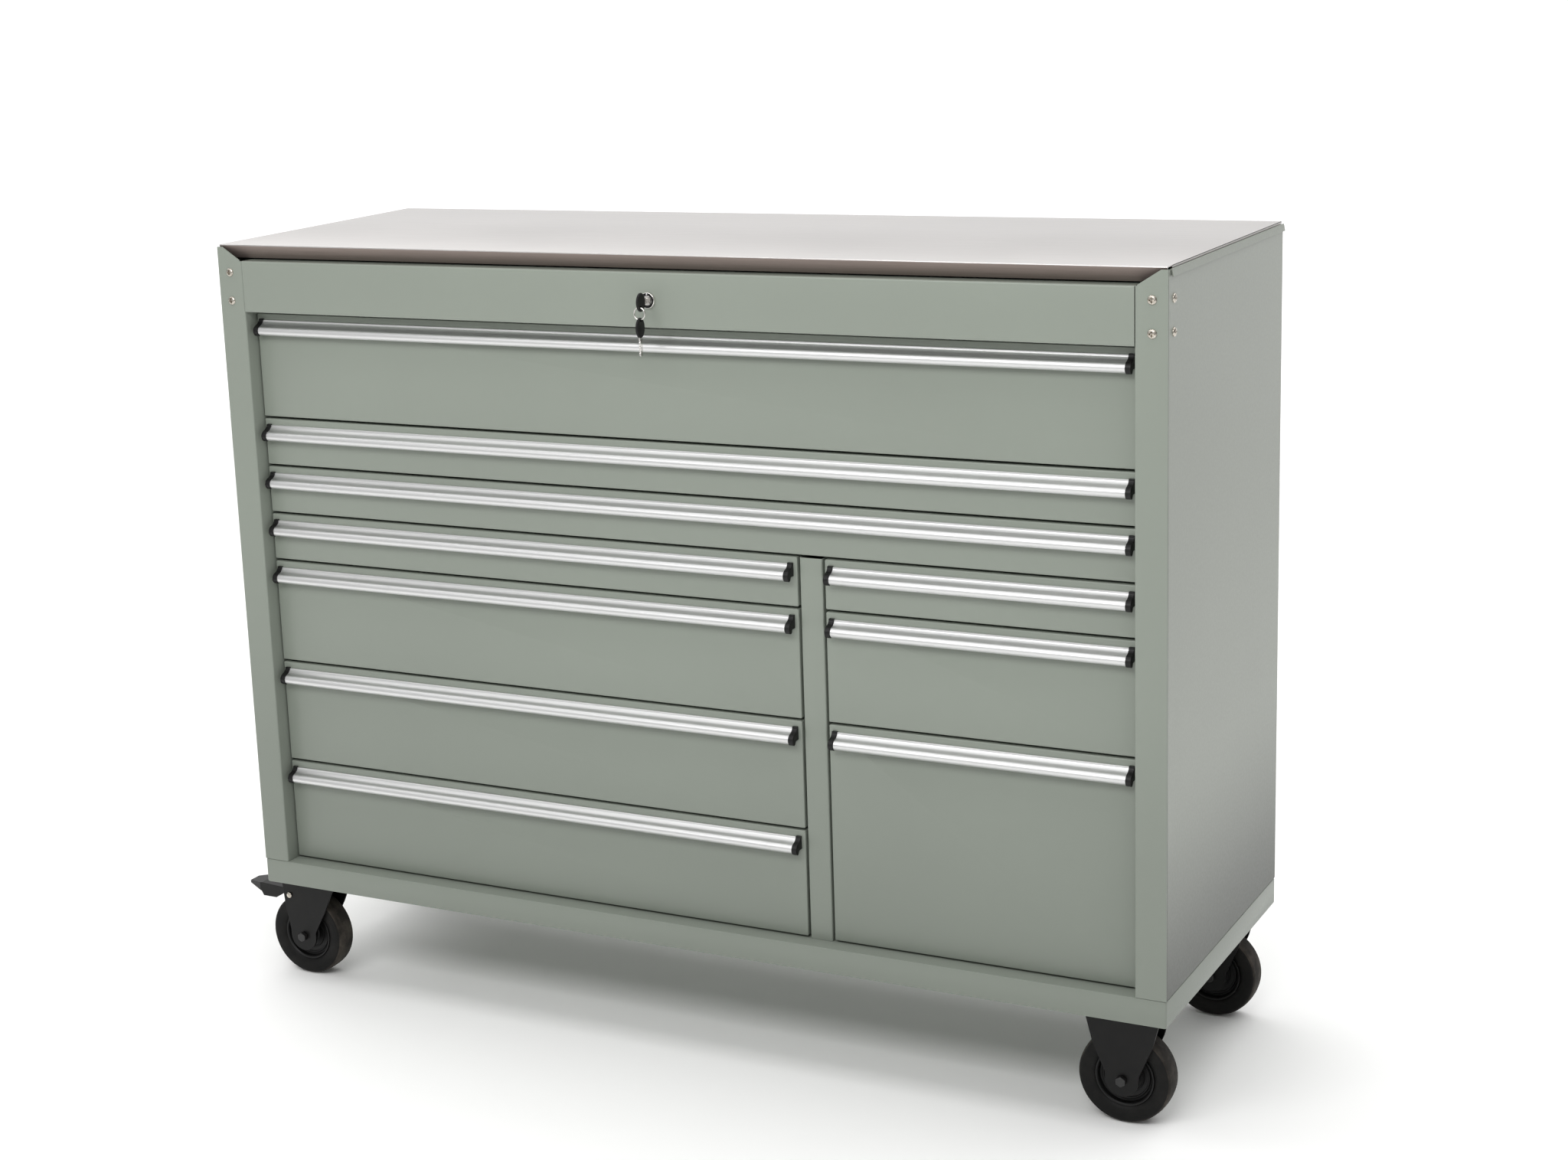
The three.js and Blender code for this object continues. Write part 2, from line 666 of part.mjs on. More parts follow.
// Swivel caster: a bolted plate with its race and king pin, a fork that turns on them with
// the axle trailing behind the pin, and a brake pedal between the fork legs.
function makeSwivelCaster(place, x, y) {
  const top = baseZ - FIT;
  const raceBottom = top - PLATE_THICK - RACE_HEIGHT;
  const crownTop = raceBottom - FIT;
  const crownBottom = crownTop - PLATE_THICK;
  const headTop = crownBottom - FIT;
  piece(`swivel_plate_${place}`, join(
    block(x - PLATE_LENGTH / 2, x + PLATE_LENGTH / 2, y - PLATE_WIDTH / 2, y + PLATE_WIDTH / 2,
      top - PLATE_THICK, top),
    barZ(RACE_RADIUS, x, y, raceBottom, top - PLATE_THICK + 1),
    barZ(KINGPIN_RADIUS, x, y, headTop - 1, raceBottom + 1),
    barZ(KINGPIN_RADIUS + KINGPIN_HEAD, x, y, headTop - KINGPIN_HEAD, headTop),
  ), blackSteel());
  const axleX = x - SWIVEL_TRAIL;
  const pinX = axleX - BRAKE_PIN_BACK;
  const tyreRise = Math.sqrt((WHEEL_RADIUS * facetGrowth) ** 2 - BRAKE_PIN_BACK ** 2);
  const pinZ = wheelZ + tyreRise + BRAKE_PIN_RADIUS + BRAKE_PIN_CLEARANCE;
  const legOut = HUB_WIDTH / 2 + FORK_CLEARANCE + FORK_WALL;
  const flanks = {
    topLeft: [pinX - SWIVEL_HEAD_BACK, crownTop - 1],
    left: [pinX - SWIVEL_NECK_BACK, pinZ - SWIVEL_HEAD_BACK],
    right: [x + SWIVEL_NECK_FRONT, wheelZ + SWIVEL_NECK_RISE],
    topRight: [x + SWIVEL_HEAD_FRONT, crownTop - 1],
  };
  const crown = block(pinX + CROWN_SETBACK, x + SWIVEL_HEAD_FRONT, y - legOut, y + legOut,
    crownBottom, crownTop);
  const bores = [
    barY(AXLE_RADIUS + FIT, axleX, y - PLATE_WIDTH, y + PLATE_WIDTH, wheelZ),
    barY(BRAKE_PIN_RADIUS + FIT, pinX, y - PLATE_WIDTH, y + PLATE_WIDTH, pinZ, 12),
    barZ(KINGPIN_RADIUS + RUN_CLEARANCE, x, y, crownBottom - 1, crownTop + 1),
  ];
  piece(`fork_${place}`, cut(join(crown, ...forkLegs(axleX, y, flanks)), ...bores), blackSteel());
  makeWheel(place, axleX, y);
  makeBrakePedal(place, x, y, pinX, pinZ);
}

// Pedal with a blunt pointed tip; its underside follows the tyre with room to press down.
function makeBrakePedal(place, x, y, pinX, pinZ) {
  const tip = x - BRAKE_REACH;
  const half = HUB_WIDTH / 2;
  const pinEnd = half + FORK_CLEARANCE + FORK_WALL + 2;
  const side = outline([
    [pinX + 4, pinZ - 2],
    [pinX + 4, pinZ + 5],
    [pinX - 16, pinZ + 9],
    [tip + 30, pinZ + 11],
    [tip, pinZ + 7],
    [tip, pinZ + 3],
    [tip + 28, pinZ - 3],
    [tip + 32, pinZ - 10],
    [pinX - 30, pinZ - 10],
    [pinX - 12, pinZ + 1],
  ]);
  const plan = outline([
    [pinX + 5, y - half],
    [pinX + 5, y + half],
    [tip + PEDAL_POINT, y + half],
    [tip, y + half / 2],
    [tip, y - half / 2],
    [tip + PEDAL_POINT, y - half],
  ]);
  const pedal = common(alongY(side, y - half, y + half), alongZ(plan, pinZ - 30, pinZ + 30));
  const pin = barY(BRAKE_PIN_RADIUS, pinX, y - pinEnd, y + pinEnd, pinZ, 12);
  piece(`brake_pedal_${place}`, join(pedal, pin), blackPlastic());
}

// ---------------------------------------------------------------- lock and keys

function makeLockBarrel() {
  const bezel = barY(BEZEL_RADIUS, 0, -BEZEL_PROUD, -FIT, lockZ);
  const barrel = barY(BARREL_RADIUS, 0, -1, BARREL_LENGTH, lockZ);
  const bore = barY(PLUG_RADIUS + FIT, 0, -BEZEL_PROUD - 1, BARREL_LENGTH + 1, lockZ);
  piece('lock_barrel', cut(join(bezel, barrel), bore), chrome());
}

// Plug with a slot for the key blade and a flat drive tongue at its rear.
function makeLockPlug() {
  const front = -BEZEL_PROUD + 1;
  const back = BARREL_LENGTH + 2;
  const slotHalf = KEY_BLADE_THICK / 2 + FIT;
  const slotTall = KEY_BLADE_HEIGHT / 2 + FIT;
  const slot = block(-slotHalf, slotHalf, front - 1, keyTip() + 2, lockZ - slotTall, lockZ + slotTall);
  piece('lock_plug', cut(barY(PLUG_RADIUS, 0, front, back, lockZ), slot), chrome());
}

// Torsion rod from the plug to the rear of the chest, ending in a crank arm.
function makeLockRod() {
  const front = BARREL_LENGTH + 2 + FIT;
  const back = boxBack + LOCK_ROD_GAP;
  const armHalf = LOCK_ROD_RADIUS + 1;
  piece('lock_rod', join(
    barY(LOCK_ROD_RADIUS, 0, front, back, lockZ, 12),
    block(-armHalf, LOCK_CRANK + armHalf, back - LOCK_ARM_THICK, back, lockZ - armHalf, lockZ + armHalf),
  ), zincSteel());
}

// Sliding frame behind the drawers: two legs and a cross bar with a hooked tab over the back
// of each drawer box. It drops by the lock travel to trap the boxes.
function makeLockBar() {
  const front = boxBack + LOCK_ROD_GAP + 1;
  const back = front + LOCK_BAR_THICK;
  const crossHigh = lockZ - LOCK_ROD_RADIUS - 2;
  const crossLow = crossHigh - LOCK_BAR_WIDTH;
  const leftLeg = -LOCK_BAR_WIDTH / 2;
  const rightLeg = (dividerRight + openingHalf) / 2;
  const low = stackZ + MEDIUM / 2;
  const bars = [
    block(leftLeg, leftLeg + LOCK_BAR_WIDTH, front, back, low, crossHigh),
    block(rightLeg, rightLeg + LOCK_BAR_WIDTH, front, back, low, crossHigh),
    block(leftLeg, rightLeg + LOCK_BAR_WIDTH, front, back, crossLow, crossHigh),
  ];
  const hooks = rows.flatMap((drawer) => {
    const x = drawer.left === dividerRight ? rightLeg : leftLeg;
    const low = boxTop(drawer) + LOCK_TAB_CLEAR;
    const arm = low + LOCK_TRAVEL - LOCK_TAB_CLEAR + 1;
    const lipBack = boxBack - SHEET - LOCK_HOOK_REACH;
    return [
      block(x, x + LOCK_BAR_WIDTH, lipBack - LOCK_HOOK_THICK, front + 1, arm, arm + LOCK_HOOK_THICK),
      block(x, x + LOCK_BAR_WIDTH, lipBack - LOCK_HOOK_THICK, lipBack, low, arm + 1),
    ];
  });
  piece('lock_bar', join(...bars, ...hooks), zincSteel());
}

function keyTip() {
  return BARREL_LENGTH - KEY_TIP_DEPTH;
}

// Oval grip in the (y, z) plane with a hole through it along x.
function bow(y, z, halfY, halfZ, holeY, holeZ) {
  const shape = new THREE.Shape();
  shape.absellipse(y, z, halfY, halfZ, 0, 2 * Math.PI, false, 0);
  const grip = alongX(new THREE.Shape(shape.getPoints(14).slice(0, -1)), -BOW_THICK / 2, BOW_THICK / 2);
  return cut(grip, barX(BOW_HOLE, -BOW_THICK, BOW_THICK, holeY, holeZ, 16));
}

const keyHoleY = -KEY_REACH + BOW_HOLE_INSET;
const keyHoleZ = lockZ - BOW_HOLE_INSET;
const ringZ = keyHoleZ - RING_RADIUS - FIT;

function makeKeys() {
  const bowY = -KEY_REACH + BOW_LENGTH / 2;
  const bladeHalf = KEY_BLADE_THICK / 2;
  const grip = bow(bowY, lockZ, BOW_LENGTH / 2, BOW_HEIGHT / 2, keyHoleY, keyHoleZ);
  const blade = block(-bladeHalf, bladeHalf, bowY + BOW_LENGTH / 4, keyTip(),
    lockZ - KEY_BLADE_HEIGHT / 2, lockZ + KEY_BLADE_HEIGHT / 2);
  piece('key', join(grip, blade), blackPlastic());
  const ring = new THREE.TorusGeometry(RING_RADIUS, RING_WIRE, 6, 20);
  piece('key_ring', ring.rotateX(Math.PI / 2).translate(0, keyHoleY, ringZ), chrome());
}

// ---------------------------------------------------------------- assembly

makePlinth();
makePost('post_left', -1);
makePost('post_right', 1);
makeSidePanel('side_panel_left', -1);
makeSidePanel('side_panel_right', 1);
makeBackPanel();
makeHeader();
makeDivider();
makeWorktop();

const sideDepth = panelInside - FIT - openingHalf;
const rowsWith = (edge, wall) => rows.filter((drawer) => drawer[edge] === wall);
makeRack('rack_left', -openingHalf, 1, rowsWith('left', -openingHalf), sideDepth);
makeRack('rack_right', openingHalf, -1, rowsWith('right', openingHalf), sideDepth);
makeRack('rack_divider_left', dividerLeft, -1, rowsWith('right', dividerLeft), 0);
makeRack('rack_divider_right', dividerRight, 1, rowsWith('left', dividerRight), 0);

for (const drawer of rows) {
  makeDrawer(drawer);
  makePull(drawer);
}

const casterRear = DEPTH - CASTER_FRONT_INSET;
makeFixedCaster('front_right', casterX, CASTER_FRONT_INSET);
makeFixedCaster('rear_right', casterX, casterRear);
makeSwivelCaster('front_left', -casterX, CASTER_FRONT_INSET);
makeSwivelCaster('rear_left', -casterX, casterRear);

makeLockBarrel();
makeLockPlug();
makeLockRod();
makeLockBar();
makeKeys();

const bounds = new THREE.Box3().setFromObject(chest);
const middle = bounds.getCenter(new THREE.Vector3());
chest.position.set(-middle.x, -middle.y, -bounds.min.z);

export default chest;
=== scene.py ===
# %% [markdown]
# # A rolling tool chest
# A wide sheet-steel cabinet on casters, with ten drawers, a folded stainless worktop, hooked
# aluminium pulls and a keyed lock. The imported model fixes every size, place and joint; this
# lesson gives each part its finish and rebuilds the parts whose bends and curves show.
# Lengths below are in millimetres, and one helper turns them to metres as a mesh is made.

import math

import bpy
import numpy as np
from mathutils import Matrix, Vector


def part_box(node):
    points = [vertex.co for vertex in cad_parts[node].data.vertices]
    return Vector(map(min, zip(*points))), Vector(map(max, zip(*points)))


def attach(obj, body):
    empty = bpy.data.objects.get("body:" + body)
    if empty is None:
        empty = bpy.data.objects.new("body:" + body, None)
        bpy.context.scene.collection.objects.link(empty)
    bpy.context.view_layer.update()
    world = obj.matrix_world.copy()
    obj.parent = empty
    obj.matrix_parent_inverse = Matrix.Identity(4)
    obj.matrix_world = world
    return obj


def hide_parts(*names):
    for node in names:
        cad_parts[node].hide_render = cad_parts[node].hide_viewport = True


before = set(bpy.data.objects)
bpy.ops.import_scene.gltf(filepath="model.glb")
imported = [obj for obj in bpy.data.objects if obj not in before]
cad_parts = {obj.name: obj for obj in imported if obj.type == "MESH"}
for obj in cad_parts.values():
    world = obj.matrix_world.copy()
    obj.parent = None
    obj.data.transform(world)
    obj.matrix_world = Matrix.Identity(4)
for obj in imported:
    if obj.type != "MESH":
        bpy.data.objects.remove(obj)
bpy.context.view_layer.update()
MILLIMETRE = 0.001

# %% [markdown]
# ## Places from the frame
# Every piece finds its place from the box of a node that it belongs to, so nothing is typed
# twice. The chest is not centred on the origin, because the brake pedals stick out on the left.

# %% Places
def corners(node):
    """Lowest and highest corner of a node, in millimetres."""
    low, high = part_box(node)
    return np.array(low) / MILLIMETRE, np.array(high) / MILLIMETRE


post_low, post_high = corners("post_right")
plinth_low, plinth_high = corners("base_plinth")
header_low, header_high = corners("header_panel")
top_low, top_high = corners("worktop")
middle_x = (plinth_low[0] + plinth_high[0]) / 2
front_y = plinth_low[1]
rear_y = plinth_high[1]
half_width = (plinth_high[0] - plinth_low[0]) / 2
post_width = post_high[0] - post_low[0]
DRAWERS = [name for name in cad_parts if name.startswith("drawer_")]
CASTERS = ["front_right", "rear_right", "front_left", "rear_left"]
print("cabinet", round(2 * half_width), "x", round(rear_y - front_y), "mm;", len(DRAWERS), "drawers")

# %% [markdown]
# ## Camera and studio
# The camera stands to the right of the chest and a little above it, and leans slightly, so the
# long front recedes to the left. A pale floor and large soft lights are the usual way to show
# painted steel: broad lights give the folds their soft edges. The sky is bright low down behind
# the chest, where the floor ends, and dimmer on the other sides, which the metals mirror.

# %% Camera
camera_data = bpy.data.cameras.new("studio_camera")
camera = bpy.data.objects.new("studio_camera", camera_data)
bpy.context.scene.collection.objects.link(camera)
bpy.context.scene.camera = camera
camera_data.sensor_width = 36
camera_data.lens = 60.2
camera_data.shift_x = 0.0684
camera_data.shift_y = -0.0161
camera_data.clip_end = 60
azimuth, tilt, lean = (math.radians(angle) for angle in (28.99, 13.24, -2.37))
stand = np.array([middle_x + 1691.4, front_y - 3003.7, plinth_low[2] + 1377.2])
forward = np.array([-math.sin(azimuth) * math.cos(tilt), math.cos(azimuth) * math.cos(tilt),
                    -math.sin(tilt)])
level = np.array([math.cos(azimuth), math.sin(azimuth), 0])
upright = np.cross(level, forward)
across = math.cos(lean) * level + math.sin(lean) * upright
above = -math.sin(lean) * level + math.cos(lean) * upright
matrix = np.eye(4)
matrix[:3, 0], matrix[:3, 1], matrix[:3, 2] = across, above, -forward
matrix[:3, 3] = stand * MILLIMETRE
camera.matrix_world = [list(line) for line in matrix.T]
print("camera at", np.round(stand))


# %% Colour and nodes
def linear(hex_colour, alpha=1.0):
    """sRGB hex to linear red, green, blue and alpha."""
    parts = [int(hex_colour[i:i + 2], 16) / 255 for i in (1, 3, 5)]
    return [c / 12.92 if c <= 0.04045 else ((c + 0.055) / 1.055) ** 2.4 for c in parts] + [alpha]


def add(tree, kind, inputs=None, **settings):
    """Add one node: settings are its properties; inputs are values, or sockets to link from."""
    node = tree.nodes.new(kind)
    for name, value in settings.items():
        setattr(node, name, value)
    for key, value in (inputs or {}).items():
        if isinstance(value, bpy.types.NodeSocket):
            tree.links.new(value, node.inputs[key])
        else:
            node.inputs[key].default_value = value
    return node


def new_material(name, **shader_inputs):
    """An empty material with one Principled shader, its fixed numbers set on its own sockets."""
    material = bpy.data.materials.new(name)
    material.use_nodes = True
    tree = material.node_tree
    tree.nodes.clear()
    shader = add(tree, "ShaderNodeBsdfPrincipled", shader_inputs)
    add(tree, "ShaderNodeOutputMaterial", {"Surface": shader.outputs["BSDF"]})
    return material, tree, shader


# %% Studio
scene = bpy.context.scene
scene.view_settings.view_transform = "Standard"
world = bpy.data.worlds.new("studio")
scene.world = world
world.use_nodes = True
sky = world.node_tree
direction = add(sky, "ShaderNodeTexCoord").outputs["Generated"]
parts = add(sky, "ShaderNodeSeparateXYZ", {0: direction})
toward_cove = add(sky, "ShaderNodeVectorMath", {0: direction, 1: (-0.47, 0.88, 0)}, operation="DOT_PRODUCT")
share = add(sky, "ShaderNodeMapRange", {"Value": toward_cove.outputs["Value"],
                                        "From Min": 0.3, "From Max": 0.6})
cove = add(sky, "ShaderNodeMapRange", {"Value": parts.outputs["Z"], "From Min": 0.03, "From Max": 0.16,
                                       "To Min": 1.25, "To Max": 0.66})
room = add(sky, "ShaderNodeMapRange", {"Value": parts.outputs["X"], "From Min": 0.1, "From Max": 0.8,
                                       "To Min": 0.5, "To Max": 0.3})
glow = add(sky, "ShaderNodeMix", {"Factor": share.outputs[0], "A": room.outputs[0], "B": cove.outputs[0]})
sky.links.new(glow.outputs[0], sky.nodes["Background"].inputs["Strength"])
sky.nodes["Background"].inputs["Color"].default_value = linear("#FFFFFF")


def soft_light(name, place, target, width, height, power):
    """A rectangular soft box at a place, turned to face its target; lengths in metres."""
    data = bpy.data.lights.new(name, "AREA")
    data.shape = "RECTANGLE"
    data.size, data.size_y = width, height
    data.energy = power
    lamp = bpy.data.objects.new(name, data)
    scene.collection.objects.link(lamp)
    aim = np.array(target, float) - np.array(place, float)
    turn = math.atan2(aim[0], -aim[1])
    lamp.location = place
    lamp.rotation_euler = (math.acos(-aim[2] / np.linalg.norm(aim)), 0, turn + math.pi)


soft_light("overhead", (-1.5, 1.7, 4.8), (-1.5, 1.3, 0), 14.0, 7.5, 450)
soft_light("front_key", (0.2, -2.5, 2.5), (0.1, 0, 1.1), 2.8, 1.0, 50)
soft_light("right_fill", (3.0, 0.2, 2.8), (0.6, 0, 1.1), 1.6, 1.6, 3)

floor_mesh = bpy.data.meshes.new("studio_floor")
left_reach, right_reach, front_reach, cove_reach = 6.0, 12.0, 12.0, 3.8
floor_mesh.from_pydata([(-left_reach, -front_reach, 0), (right_reach, -front_reach, 0),
                        (right_reach, cove_reach, 0), (-left_reach, cove_reach, 0)], [], [(0, 1, 2, 3)])
floor = bpy.data.objects.new("studio_floor", floor_mesh)
scene.collection.objects.link(floor)
floor_inputs = {"Base Color": linear("#F8F8F7"), "Roughness": 0.9}
floor_paint = new_material("studio_floor_paint", **floor_inputs)[0]
floor_mesh.materials.append(floor_paint)
print("three soft lights and a floor")

# %% [markdown]
# ## Surfaces from arrays
# A folded sheet, a turned wheel and a pressed tray are all loops of points carried along a
# path, so each is one array of shape (stations, points, 3). Quads join each loop to the next.
# The volume inside tells which way the faces point, and they are turned outwards by its sign.

# %% Surface helpers
def grid_quads(rows, columns, wrap_rows=False, wrap_columns=True):
    """Quads of a grid of points numbered row by row; a wrapped way joins its last line to its first."""
    i, j = np.meshgrid(np.arange(rows if wrap_rows else rows - 1),
                       np.arange(columns if wrap_columns else columns - 1), indexing="ij")
    k, l = (i + 1) % rows, (j + 1) % columns
    return np.stack([i * columns + j, i * columns + l, k * columns + l, k * columns + j], -1).reshape(-1, 4)


def outward(points, quads, ends=()):
    """Turn all the faces over if the signed volume, the sum of a . (b x c) / 6, is negative."""
    triangles = np.concatenate([quads[:, [0, 1, 2]], quads[:, [0, 2, 3]]])
    for end in ends:
        fan = np.array(end)
        first = np.full(len(fan) - 2, fan[0])
        triangles = np.concatenate([triangles, np.stack([first, fan[1:-1], fan[2:]], -1)])
    a, b, c = (points[triangles[:, k]] for k in range(3))
    if np.einsum("ij,ij->i", a, np.cross(b, c)).sum() < 0:
        quads = quads[:, ::-1]
        ends = [end[::-1] for end in ends]
    return points, quads.tolist() + [list(map(int, end)) for end in ends]


def closed_stack(loops):
    """Skin through a stack of closed loops, loops[station, point], with a flat face at each end."""
    stations, count, _ = loops.shape
    last = (stations - 1) * count
    ends = [list(range(count))[::-1], list(range(last, last + count))]
    return outward(loops.reshape(-1, 3), grid_quads(stations, count), ends)


def closed_ring(loops):
    """Skin through closed loops that come round to the first again, as a tyre does."""
    stations, count, _ = loops.shape
    return outward(loops.reshape(-1, 3), grid_quads(stations, count, wrap_rows=True))


AXES = {"x": (1, 2, 0), "y": (0, 2, 1), "z": (0, 1, 2)}


def swept(outline, axis, stations):
    """A closed outline carried straight along an axis. For x the outline is (y, z), for y it is
    (x, z) and for z it is (x, y)."""
    first, second, along = AXES[axis]
    loops = np.zeros((len(stations), len(outline), 3))
    loops[:, :, first] = outline[None, :, 0]
    loops[:, :, second] = outline[None, :, 1]
    loops[:, :, along] = np.array(stations, float)[:, None]
    return closed_stack(loops)


def arc(centre, radius, start, stop, steps):
    """Points on a circle from one angle to another, in degrees."""
    angle = np.radians(np.linspace(start, stop, steps + 1))
    return np.array(centre) + radius * np.stack([np.cos(angle), np.sin(angle)], -1)


def rounded(path, radius, steps=4, closed=False):
    """A line path with each corner replaced by an arc: the arc starts and ends radius *
    tan(turn / 2) from the corner, so it meets both sides smoothly."""
    path = np.array(path, float)
    count = len(path)
    inner = range(count) if closed else range(1, count - 1)
    pieces = [] if closed else [path[:1]]
    for k in inner:
        before, corner, after = path[k - 1], path[k], path[(k + 1) % count]
        into = (corner - before) / np.linalg.norm(corner - before)
        out = (after - corner) / np.linalg.norm(after - corner)
        turn = math.atan2(into[0] * out[1] - into[1] * out[0], into @ out)
        reach = radius * math.tan(abs(turn) / 2)
        side = math.copysign(1, turn)
        centre = corner - into * reach + radius * side * np.array([-into[1], into[0]])
        begin = math.degrees(math.atan2(*(corner - into * reach - centre)[::-1]))
        pieces.append(arc(centre, radius, begin, begin + math.degrees(turn), steps))
    if not closed:
        pieces.append(path[-1:])
    return np.concatenate(pieces)


def folded(path, wall, bend, steps=4):
    """Outline of sheet metal bent along a path: the path's corners become arcs and the line is
    moved half the wall to each side along its normals."""
    line = rounded(path, bend, steps)
    ahead = np.diff(line, axis=0)
    ahead /= np.linalg.norm(ahead, axis=1)[:, None]
    mean = np.concatenate([ahead[:1], ahead[:-1] + ahead[1:], ahead[-1:]])
    mean /= np.linalg.norm(mean, axis=1)[:, None]
    stretch = 1 / np.concatenate([[1], np.einsum("ij,ij->i", mean[1:-1], ahead[1:]), [1]])
    normal = np.stack([-mean[:, 1], mean[:, 0]], -1) * stretch[:, None] * wall / 2
    return np.concatenate([line + normal, (line - normal)[::-1]])


def box_loops(axis, stations, steps=4):
    """Rounded rectangles stacked along an axis. A station is (a0, a1, b0, b1, radius, along)."""
    first, second, along = AXES[axis]
    loops = []
    for a0, a1, b0, b1, radius, place in stations:
        rectangle = rounded([(a0, b0), (a1, b0), (a1, b1), (a0, b1)], radius, steps, closed=True)
        loop = np.full((len(rectangle), 3), float(place))
        loop[:, first] = rectangle[:, 0]
        loop[:, second] = rectangle[:, 1]
        loops.append(loop)
    return np.array(loops)


def turned_loops(profile, centre, axis, sides):
    """Circles about an axis through a centre, one for each (radius, along) of the profile."""
    first, second, along = AXES[axis]
    angle = np.arange(sides) * 2 * math.pi / sides
    profile = np.array(profile, float)
    loops = np.zeros((len(profile), sides, 3))
    loops[:, :, first] = centre[first] + profile[:, :1] * np.cos(angle)
    loops[:, :, second] = centre[second] + profile[:, :1] * np.sin(angle)
    loops[:, :, along] = centre[along] + profile[:, 1:]
    return loops


def turned(profile, centre, axis="y", sides=96):
    """A solid turned from a profile that starts and ends on small circles near the axis."""
    return closed_stack(turned_loops(profile, centre, axis, sides))


def turned_ring(profile, centre, axis="y", sides=96):
    """A ring turned from a closed profile, such as a tyre or a bezel."""
    return closed_ring(turned_loops(profile, centre, axis, sides).transpose(1, 0, 2))


def make_piece(name, surfaces, material, body, replaces=(), smooth_angle=35):
    """One object from one or more surfaces, in place, riding on a body. Edges sharper than the
    angle stay crisp and the rest are shaded smooth."""
    points, faces, base = [], [], 0
    for surface_points, surface_faces in surfaces:
        points.append(np.asarray(surface_points) * MILLIMETRE)
        faces += [[base + corner for corner in face] for face in surface_faces]
        base += len(surface_points)
    mesh = bpy.data.meshes.new(name)
    mesh.from_pydata(np.concatenate(points).tolist(), [], faces)
    mesh.polygons.foreach_set("use_smooth", np.ones(len(mesh.polygons), bool))
    mesh.set_sharp_from_angle(angle=math.radians(smooth_angle))
    mesh.materials.append(material)
    obj = bpy.data.objects.new(name, mesh)
    scene.collection.objects.link(obj)
    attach(obj, body)
    if replaces:
        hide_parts(*replaces)
    return obj


def bevel(obj, width, segments=2):
    """Round the hard edges of a piece by a width in millimetres."""
    modifier = obj.modifiers.new("edge", "BEVEL")
    modifier.width = width * MILLIMETRE
    modifier.segments = segments
    modifier.limit_method = "ANGLE"
    modifier.angle_limit = math.radians(40)
    modifier.harden_normals = False
    return obj


print("surface helpers ready")

# %% [markdown]
# ## Finishes
# Powder coat is a polyester film baked on degreased steel. It is satin rather than glossy,
# with a fine orange peel from the melted powder. Object coordinates keep the grain at its real
# size on every panel: the peel is drawn 4 mm across, coarser than the real 2 mm, so it shows.
# Low panels mirror a darker floor. A factor that falls with height towards the base paints that
# reflection in as shade: it darkens the colour and lowers the shine, most of all on the side panels.

# %% Powder-coated steel
def texture_space(tree, stretch=(1, 1, 1)):
    """Object coordinates in metres, scaled along each axis to stretch a pattern."""
    place = add(tree, "ShaderNodeTexCoord")
    return add(tree, "ShaderNodeMapping", {"Vector": place.outputs["Object"], "Scale": stretch}).outputs[0]


def noise(tree, space, size_mm, detail=2.0, roughness=0.5):
    """Noise whose grains are about size_mm across."""
    return add(tree, "ShaderNodeTexNoise", {"Vector": space, "Scale": 1000 / size_mm, "Detail": detail,
                                            "Roughness": roughness}).outputs["Fac"]


def powder_coat(name, main, shade, dull, unshaded_height, peel_mm=4.0, gloss=0.34, depth_mm=0.05):
    """Satin paint with an orange peel, and painted shade low down. Below a height in metres, a factor
    falls smoothly to its lowest near the floor, darkening the paint and lowering its shine."""
    material, tree, shader = new_material(name, **{"IOR": 1.46, "Coat Weight": 0.08,
                                                   "Coat Roughness": 0.16})
    space = texture_space(tree)
    cloud = noise(tree, space, 420, 3)
    fine = noise(tree, space, peel_mm, 2)
    tint = add(tree, "ShaderNodeMix", {"Factor": cloud, "A": linear(main), "B": linear(shade)},
               data_type="RGBA")
    height = add(tree, "ShaderNodeSeparateXYZ", {0: space}).outputs["Z"]
    # Painted shade: towards the floor the paint is darkened and its shine lowered, a painted reflection of
    # the darker floor.
    wear_and_painted_shade = add(tree, "ShaderNodeMapRange", {"Value": height, "From Min": 0.16, "From Max": unshaded_height,
                                            "To Min": dull, "To Max": 1.0},
               interpolation_type="SMOOTHSTEP")
    painted_shade_tint = add(tree, "ShaderNodeVectorMath", {0: tint.outputs["Result"], "Scale": wear_and_painted_shade.outputs[0]},
               operation="SCALE")
    tree.links.new(painted_shade_tint.outputs["Vector"], shader.inputs["Base Color"])
    shine = add(tree, "ShaderNodeMath", {0: wear_and_painted_shade.outputs[0], 1: 0.5}, operation="MULTIPLY")
    tree.links.new(shine.outputs[0], shader.inputs["Specular IOR Level"])
    sheen = add(tree, "ShaderNodeMapRange", {"Value": fine, "To Min": gloss - 0.05, "To Max": gloss + 0.08})
    tree.links.new(sheen.outputs[0], shader.inputs["Roughness"])
    bump = add(tree, "ShaderNodeBump", {"Height": fine, "Strength": 0.35,
                                        "Distance": depth_mm * MILLIMETRE})
    tree.links.new(bump.outputs[0], shader.inputs["Normal"])
    return material


# Both paints get painted shade low down. The side panels' paint is a darker copy, painted shade on the
# sides, and darkens most towards the floor.
cabinet_paint = powder_coat("powder_coated_steel", "#8D948A", "#858B82", 0.84, 0.8)
shaded_side_paint = powder_coat("powder_coated_side_painted_shade", "#868B81", "#7E837A", 0.3, 0.5)
print("made", cabinet_paint.name, "and", shaded_side_paint.name)
